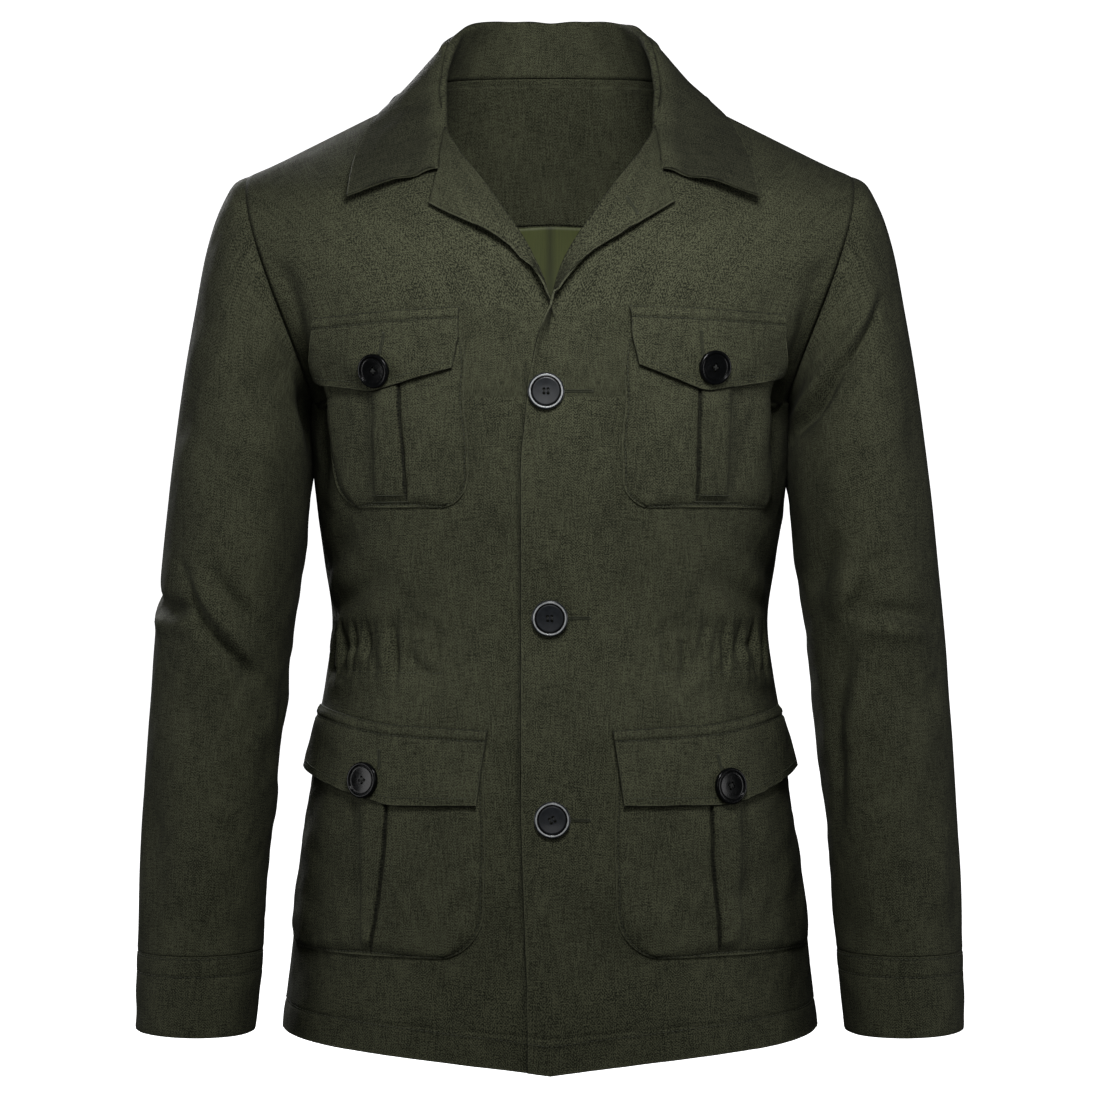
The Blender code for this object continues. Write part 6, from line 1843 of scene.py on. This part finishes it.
class JACKET_OT_pockets(bpy.types.Operator):
    """Makes the patch pockets with their box pleats and edge stitches"""

    bl_idname = "jacket.pockets"
    bl_label = "Patch pockets"

    def execute(self, context):
        for side, word in ((1, "left"), (-1, "right")):
            for where, shapes, (width, length, area) in (
                ("chest", CHEST_POCKET, (0.157, 0.135, 0.0190)),
                ("hip", HIP_POCKET, (0.220, 0.155, 0.0310)),
            ):
                cloth = pocket_cloth(side, where, shapes[side])
                rows = [(edge, EDGE_ROW, ("low",)) for edge in ("start", "end")]
                rows.append(("low", EDGE_ROW, ("start", "end")))
                cloth.press(dips(cloth, rows, 0.0006))
                rim = cloth.nearest(("start", "end", "low"))
                # A lighter rubbed rim, partly a painted highlight, less painted shade at the pleat and along
                # the stitch row.
                cloth.edge = 0.5 * bell(rim, 0.001) - cloth.shade - row_shade(rim, EDGE_ROW)
                cloth.round = np.full_like(rim, 0.7)
                cloth = cloth if side > 0 else mirrored_copy(cloth)
                cloth.name = f"cloth_{where}_pocket_{word}"
                made = settle(cloth.build(body_cloth(context)), "body_cloth", f"{where}_pocket_{word}")
                runs = rows_of_stitches(cloth, rows)
                columns = np.linspace(*cloth.band, 16)
                columns = cloth.points.shape[1] - 1 - columns if side < 0 else columns
                for height in BAR_ROWS if where == "chest" else ():
                    row = np.interp(height, cloth.levels, np.arange(len(cloth.levels)))
                    places = np.stack([np.full(len(columns), row), columns], axis=1)
                    runs.append(dashes(*cloth.at(places), pitch=BAR_PITCH))
                sewing = sewn(f"sewing_{where}_pocket_{word}", runs, sewing_thread(context))
                settle(sewing, "body_cloth")
        return {"FINISHED"}


class JACKET_OT_flaps(bpy.types.Operator):
    """Makes the pocket flaps with their two rows of stitches"""

    bl_idname = "jacket.flaps"
    bl_label = "Pocket flaps"

    def execute(self, context):
        for side, word in ((1, "left"), (-1, "right")):
            for where, shapes, corner, flat in (
                ("chest", CHEST_FLAP, 0.001, (0.135, 0.062)),
                ("hip", HIP_FLAP, 0.0035, (0.18, 0.068)),
            ):
                cloth = flap_cloth(side, where, shapes[side], corner)
                rows = [("high", FLAP_SEAM_ROW, ()), ("high", FLAP_TOP_ROW, ())]
                rows.append(("low", FLAP_EDGE_ROW, ("start", "end")))
                cloth.press(dips(cloth, rows[:1], 0.0008))
                # Rubbed wear along the free edges, partly a painted highlight, and painted shade along the
                # seam's stitch row.
                cloth.edge = 0.9 * bell(cloth.nearest(("start", "end", "low")), 0.0011)
                cloth.edge = cloth.edge - row_shade(cloth.reach("high"), FLAP_SEAM_ROW, 0.0011)
                cloth = cloth if side > 0 else mirrored_copy(cloth)
                cloth.name = f"cloth_{where}_flap_{word}"
                made = settle(cloth.build(body_cloth(context)), "body_cloth", f"{where}_flap_{word}")
                across, start, end = FLAP_HOLES[where, side]
                column = int(np.abs(cloth.share[0] - across).argmin())
                column = cloth.points.shape[1] - 1 - column if side < 0 else column
                heights = cloth.share[1]
                heights = np.interp(np.linspace(start, end, 12), heights, np.arange(len(heights)))
                places = np.stack([heights, np.full_like(heights, column)], axis=1)
                runs = rows_of_stitches(cloth, rows) + buttonhole(*cloth.at(places))
                sewing = sewn(f"sewing_{where}_flap_{word}", runs, sewing_thread(context))
                settle(sewing, "body_cloth")
        return {"FINISHED"}


# ---- Buttons ----
RIM_START, RIM_END = 0.845, 0.915  # the rim painted lighter as a highlight, in shares of a button's radius
GROOVE_START = 0.745  # the dark groove inside it
RIM_RISE, SOFTENING = 0.0006, 0.00035  # how far the rim stands up, and how far its edges are rounded


def only(obj):
    """Selects one object alone and makes it the active one."""
    bpy.ops.object.select_all(action="DESELECT")
    obj.select_set(True)
    bpy.context.view_layer.objects.active = obj


def button_model(radius):
    """A four-hole button that faces +Z: a rounded rim, a wall down to a shallow dish, and its holes."""
    thickness, floor, reach = size("button_thickness"), size("button_floor"), size("hole_reach")
    bpy.ops.object.select_all(action="DESELECT")
    middle = (0, 0, thickness / 2)
    bpy.ops.mesh.primitive_cylinder_add(vertices=48, radius=radius, depth=thickness, location=middle)
    model = bpy.context.object
    bpy.ops.object.transform_apply(location=True)
    bpy.ops.object.mode_set(mode="EDIT")
    bpy.ops.mesh.select_mode(type="FACE")
    bpy.ops.mesh.select_all(action="DESELECT")
    bpy.ops.object.mode_set(mode="OBJECT")
    for face in model.data.polygons:
        face.select = face.normal.z > 0.9
    bpy.ops.object.mode_set(mode="EDIT")
    # The rim's slope, its top, the wall down to the dish, the dish's swell and its middle.
    for inset, rise in ((0.07, RIM_RISE), (0.085, 0), (0.05, -floor), (0.08, 0.00035), (0.26, -0.00045)):
        bpy.ops.mesh.inset(thickness=inset * radius)
        bpy.ops.transform.translate(value=(0, 0, rise))
    bpy.ops.mesh.select_mode(type="EDGE")
    bpy.ops.mesh.select_all(action="DESELECT")
    bpy.ops.mesh.edges_select_sharp(sharpness=math.radians(25))
    bpy.ops.mesh.bevel(offset=SOFTENING, segments=3, affect="EDGES")
    bpy.ops.object.mode_set(mode="OBJECT")
    for k in range(4):
        angle = math.pi / 4 + k * math.pi / 2
        place = (reach * math.cos(angle), reach * math.sin(angle), 0)
        bpy.ops.mesh.primitive_cylinder_add(
            vertices=16, radius=size("hole_radius"), depth=0.02, location=place
        )
        cutter = bpy.context.object
        cut = model.modifiers.new("hole", "BOOLEAN")
        cut.object, cut.solver = cutter, "EXACT"
        only(model)
        bpy.ops.object.modifier_apply(modifier="hole")
        bpy.data.objects.remove(cutter)
    only(model)
    bpy.ops.object.shade_smooth_by_angle(angle=math.radians(35))
    for look in ("disc", "rim", "groove"):
        model.data.materials.append(bpy.data.materials.get(look) or bpy.data.materials.new(look))
    # The rim's faces take slot 1, whose light grey is a painted highlight.
    for face in model.data.polygons:
        share = math.hypot(face.center.x, face.center.y) / radius
        if RIM_START < share < RIM_END and face.center.z > thickness:
            face.material_index = 1
        elif GROOVE_START < share <= RIM_START:
            face.material_index = 2
    return model


def place_of(node):
    """A button's foot, the way it faces and its radius, from its solid."""
    points = np.array([tuple(v.co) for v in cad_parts[node].data.vertices])
    middle = points.mean(axis=0)
    _, _, ways = np.linalg.svd(points - middle, full_matrices=False)
    out = ways[2] * (-1 if ways[2][1] > 0 else 1)
    across = (points - middle) @ ways[0]
    return middle + out * ((points - middle) @ out).min(), out, (across.max() - across.min()) / 2


def stand_up(foot, out, turn):
    """The matrix that puts a button's foot in place, facing out, turned about its axis."""
    aim = Vector(out).to_track_quat("Z", "Y").to_matrix().to_4x4()
    return Matrix.Translation(Vector(foot)) @ aim @ Matrix.Rotation(math.radians(turn), 4, "Z")


BUTTON_TURNS = {
    "button_front_1": 0,
    "button_front_2": 2,
    "button_front_3": 28,
    "button_chest_left": 40,
    "button_chest_right": 47,
    "button_hip_left": 24,
    "button_hip_right": 51,
}


class JACKET_OT_buttons(bpy.types.Operator):
    """Makes the seven four-hole buttons and the thread that holds them"""

    bl_idname = "jacket.buttons"
    bl_label = "Buttons"

    def execute(self, context):
        colours = context.scene.jacket_colours
        # Painted reflection: the front buttons' dish is given a lighter plastic than the pocket buttons,
        # standing in for the soft light it reflects.
        dish = button_plastic("button plastic", colours.button, 0.30, 0.34)
        rim = button_plastic("button rim", colours.button_rim, 0.16, 0.50)
        groove = button_plastic("button groove", colours.pocket_button, 0.40, 0.08)
        black = button_plastic("pocket button plastic", colours.pocket_button, 0.14, 0.13)
        runs = []
        models = {}
        for node, turn in BUTTON_TURNS.items():
            foot, out, radius = place_of(node)
            key = round(radius, 4)
            if key not in models:
                models[key] = button_model(radius)
            mesh = models[key].data.copy()
            finishes = (dish, rim, groove) if "front" in node else (black, black, black)
            for slot, finish in enumerate(finishes):
                mesh.materials[slot] = finish
            place = stand_up(foot, out, turn)
            mesh.transform(place)
            made = bpy.data.objects.new(f"plastic_{node}", mesh)
            context.scene.collection.objects.link(made)
            settle(made, "button", node)
            runs += button_threads(place, crossed="front" not in node)
        for model in models.values():
            bpy.data.objects.remove(model)
        settle(sewn("sewing_buttons", runs, thread("button thread", (0.012, 0.013, 0.012))), "button")
        return {"FINISHED"}


def button_threads(place, crossed):
    """Thread between the holes: two bars, or a cross."""
    reach = size("hole_reach") / math.sqrt(2)
    height = size("button_thickness") + 0.0005 - size("button_floor") - 0.00012
    ends = [((-reach, -reach), (reach, reach)), ((-reach, reach), (reach, -reach))]
    if not crossed:
        ends = [((-reach, -reach), (-reach, reach)), ((reach, -reach), (reach, reach))]
    turned = place.to_3x3()
    runs = []
    for number, (start, end) in enumerate(ends):
        rise = height + 0.0002 * number * crossed
        for aside in (-0.00032, 0.00032):
            way = Vector((end[0] - start[0], end[1] - start[1], 0))
            side = Vector((-way.y, way.x, 0)).normalized() * aside
            middle = Vector(((start[0] + end[0]) / 2, (start[1] + end[1]) / 2, rise)) + side
            centre = np.array([tuple(place @ middle)])
            ahead, up = (np.array([tuple(turned @ line)]) for line in (way, Vector((0, 0, 1))))
            runs.append(dash_mesh(centre, ahead, up, way.length * 1.25, 0.0006, 0.00035))
    return runs


# ---- Stage ----
HALF_VIEW, SENSOR = 0.4125, 36.0  # half of what the camera sees at the buttons, and its sensor's width
FLOOR_HALF, WALL_Y, WALL_HEIGHT, COVE = 4.0, 2.6, 4.2, 0.8
# Soft lights: name, place, size, power and what they aim at.
LIGHTS = (
    ("key", (0.06, -0.76, 0.20), 0.26, 6.2, (0, 0, -0.25)),
    ("fill", (-0.10, -2.30, 0.10), 0.90, 3.6, (0, 0, -0.15)),
    ("side", (1.90, -0.30, -0.40), 0.80, 9.0, (0, 0, -0.50)),
    ("far side", (-1.90, -0.30, -0.40), 0.80, 9.0, (0, 0, -0.50)),
    ("rear", (-0.75, 1.55, 0.70), 0.80, 42.0, (0, 0, -0.25)),
)
FLOOR_GLOW = 1.15
AMBIENT, BACKDROP = 0.06, 1.0  # how bright the surroundings are as light, and as seen


def plain_finish(name, colour):
    """Matt pale paint that glows a little, so that the floor stays white."""
    made, w, shader = new_material(name)
    place = w.node("ShaderNodeTexCoord").outputs["Object"]
    cloud = w.noise(place, (0.8, 0.8, 0.8), 2.0)
    shader.inputs["Emission Color"].default_value = opaque(colour)
    shader.inputs["Emission Strength"].default_value = FLOOR_GLOW
    darker = [channel * 0.985 for channel in colour]
    w.feed(shader.inputs["Base Color"], w.mix(cloud, opaque(darker), opaque(colour)))
    shader.inputs["Roughness"].default_value = 0.9
    shader.inputs["Specular IOR Level"].default_value = 0.1
    return made


class JACKET_OT_stage(bpy.types.Operator):
    """Makes the pale floor with its cove, the soft lights and the camera"""

    bl_idname = "jacket.stage"
    bl_label = "Floor, light and camera"

    def execute(self, context):
        bpy.ops.object.select_all(action="DESELECT")
        level, distance = size("floor_level"), size("camera_distance")
        bpy.ops.mesh.primitive_plane_add(size=2 * FLOOR_HALF, location=(0, WALL_Y - FLOOR_HALF, level))
        floor = context.object
        floor.name = "studio_floor"
        bpy.ops.object.transform_apply(location=True)
        bpy.ops.object.mode_set(mode="EDIT")
        bpy.ops.mesh.select_mode(type="EDGE")
        bpy.ops.mesh.select_all(action="DESELECT")
        bpy.ops.object.mode_set(mode="OBJECT")
        vertices = floor.data.vertices
        for edge in floor.data.edges:
            edge.select = all(vertices[k].co.y > WALL_Y - 0.01 for k in edge.vertices)
        bpy.ops.object.mode_set(mode="EDIT")
        bpy.ops.mesh.extrude_region_move(TRANSFORM_OT_translate={"value": (0, 0, WALL_HEIGHT)})
        bpy.ops.mesh.select_all(action="DESELECT")
        bpy.ops.object.mode_set(mode="OBJECT")
        for edge in floor.data.edges:
            ends = [vertices[k].co for k in edge.vertices]
            edge.select = all(end.y > WALL_Y - 0.01 and end.z < level + 0.01 for end in ends)
        bpy.ops.object.mode_set(mode="EDIT")
        bpy.ops.mesh.bevel(offset=COVE, segments=12, affect="EDGES")
        bpy.ops.object.mode_set(mode="OBJECT")
        bpy.ops.object.shade_smooth()
        floor.visible_diffuse = floor.visible_glossy = False
        floor.data.materials.append(plain_finish("studio floor", context.scene.jacket_colours.floor))
        for name, place, width, power, target in LIGHTS:
            lamp = bpy.data.lights.new(name, "AREA")
            lamp.shape, lamp.size, lamp.energy = "SQUARE", width, power
            light = bpy.data.objects.new(name, lamp)
            light.location = place
            light.visible_camera = False
            light.rotation_euler = (Vector(target) - Vector(place)).to_track_quat("-Z", "Y").to_euler()
            context.scene.collection.objects.link(light)
        world = bpy.data.worlds.new("studio")
        world.use_nodes = True
        w = Wiring(world.node_tree)
        seen = w.node("ShaderNodeLightPath").outputs["Is Camera Ray"]
        background = world.node_tree.nodes["Background"]
        background.inputs["Color"].default_value = (1, 1, 1, 1)
        w.feed(background.inputs["Strength"], w.span(seen, 0.0, 1.0, AMBIENT, BACKDROP))
        context.scene.world = world
        camera = bpy.data.objects.new("camera", bpy.data.cameras.new("camera"))
        camera.location = (0, -distance, size("camera_level"))
        camera.rotation_euler = (math.pi / 2, 0, 0)
        camera.data.sensor_width = SENSOR
        camera.data.sensor_fit = "HORIZONTAL"
        camera.data.lens = SENSOR / 2 * distance / HALF_VIEW
        context.scene.collection.objects.link(camera)
        context.scene.camera = camera
        context.scene.view_settings.view_transform = "Standard"
        return {"FINISHED"}


# ---- Settings, panel and registration ----
SMALL_LENGTH = {"unit": "LENGTH", "min": 0.0001, "max": 0.01, "precision": 5}


class JacketSizes(bpy.types.PropertyGroup):
    """Sizes of the jacket's sewing, weave and buttons, and of its stage"""

    stitch_pitch: FloatProperty(
        name="Stitch pitch", description="From one stitch to the next", default=0.0032, **SMALL_LENGTH
    )
    stitch_length: FloatProperty(
        name="Stitch length", description="How much of it the thread shows", default=0.0024, **SMALL_LENGTH
    )
    stitch_width: FloatProperty(
        name="Stitch width", description="How wide the thread is", default=0.00075, **SMALL_LENGTH
    )
    stitch_rise: FloatProperty(
        name="Stitch rise", description="How far the thread stands up", default=0.0003, **SMALL_LENGTH
    )
    yarn: FloatProperty(
        name="Yarn", description="How wide the weave's yarns lie", default=0.0006, **SMALL_LENGTH
    )
    slub_yarn: FloatProperty(
        name="Slub yarn", description="How wide its thickest yarns lie", default=0.0009, **SMALL_LENGTH
    )
    pleat_band: FloatProperty(
        name="Pleat", description="How far a pocket's pleat stands up", default=0.0021, **SMALL_LENGTH
    )
    button_thickness: FloatProperty(
        name="Button thickness", description="A button's edge", default=0.003, **SMALL_LENGTH
    )
    button_floor: FloatProperty(
        name="Button dish", description="How deep a button's dish lies", default=0.0011, **SMALL_LENGTH
    )
    hole_radius: FloatProperty(
        name="Hole radius", description="A button's four holes", default=0.0011, **SMALL_LENGTH
    )
    hole_reach: FloatProperty(
        name="Hole reach", description="From a button's centre to its holes", default=0.0021, **SMALL_LENGTH
    )
    camera_distance: FloatProperty(
        name="Camera distance", description="From camera to buttons", default=2.3, min=1, unit="LENGTH"
    )
    camera_level: FloatProperty(
        name="Camera level", description="The camera's height", default=-0.33375, unit="LENGTH"
    )
    floor_level: FloatProperty(
        name="Floor level", description="The floor's height", default=-0.95, max=-0.75, unit="LENGTH"
    )


class JacketColours(bpy.types.PropertyGroup):
    """Colours of the jacket's materials, as linear values"""

    cloth_dark: FloatVectorProperty(
        name="Dark yarn", description="The weave's darker yarn",
        subtype="COLOR", default=(0.0100, 0.0112, 0.0058),
    )
    cloth_light: FloatVectorProperty(
        name="Light yarn", description="The weave's lighter yarn",
        subtype="COLOR", default=(0.0790, 0.0830, 0.0470),
    )
    # Rubbed wear along the edges, partly standing in for a painted highlight there.
    rubbed: FloatVectorProperty(
        name="Rubbed edge", description="Cloth where its edges are rubbed",
        subtype="COLOR", default=(0.095, 0.100, 0.062),
    )
    lining: FloatVectorProperty(
        name="Lining", description="The lining's cloth", subtype="COLOR", default=(0.050, 0.060, 0.013)
    )
    thread: FloatVectorProperty(
        name="Thread", description="The sewing thread", subtype="COLOR", default=(0.026, 0.029, 0.015)
    )
    # Painted reflection: the front buttons' plastic is lighter than the pocket buttons', whose near black is
    # the plastic's own colour.
    button: FloatVectorProperty(
        name="Front button", description="The front buttons' plastic",
        subtype="COLOR", default=(0.0075, 0.0090, 0.0110),
    )
    pocket_button: FloatVectorProperty(
        name="Pocket button", description="The pocket buttons' plastic",
        subtype="COLOR", default=(0.0018, 0.0020, 0.0022),
    )
    # Painted highlight: the rims are given a light grey so that they read as a bright ring.
    button_rim: FloatVectorProperty(
        name="Button rim", description="The buttons' polished rims",
        subtype="COLOR", default=(0.2600, 0.2700, 0.2750),
    )
    floor: FloatVectorProperty(
        name="Floor", description="The studio's floor", subtype="COLOR", default=(0.90, 0.90, 0.90)
    )


PIECES = (
    JACKET_OT_fronts,
    JACKET_OT_back,
    JACKET_OT_lining,
    JACKET_OT_sleeves,
    JACKET_OT_cuffs,
    JACKET_OT_collar,
    JACKET_OT_pockets,
    JACKET_OT_flaps,
    JACKET_OT_buttons,
    JACKET_OT_stage,
)


class JACKET_PT_maker(bpy.types.Panel):
    """Lists the pieces of the jacket"""

    bl_idname = "JACKET_PT_maker"
    bl_label = "Safari jacket"
    bl_space_type = "VIEW_3D"
    bl_region_type = "UI"
    bl_category = "Jacket"

    def draw(self, context):
        for group in (context.scene.jacket_sizes, context.scene.jacket_colours):
            for name in group.bl_rna.properties.keys():
                if name not in ("rna_type", "name"):
                    self.layout.prop(group, name)
        for piece in PIECES:
            self.layout.operator(piece.bl_idname)


CLASSES = (JacketSizes, JacketColours, *PIECES, JACKET_PT_maker)


def register():
    for kind in CLASSES:
        bpy.utils.register_class(kind)
    bpy.types.Scene.jacket_sizes = PointerProperty(type=JacketSizes)
    bpy.types.Scene.jacket_colours = PointerProperty(type=JacketColours)


def unregister():
    del bpy.types.Scene.jacket_sizes
    del bpy.types.Scene.jacket_colours
    for kind in reversed(CLASSES):
        bpy.utils.unregister_class(kind)


def main():
    """Registers the panel and its settings, and makes every piece in order."""
    register()
    for piece in PIECES:
        group, name = piece.bl_idname.split(".")
        getattr(getattr(bpy.ops, group), name)()


if __name__ == "__main__":
    main()
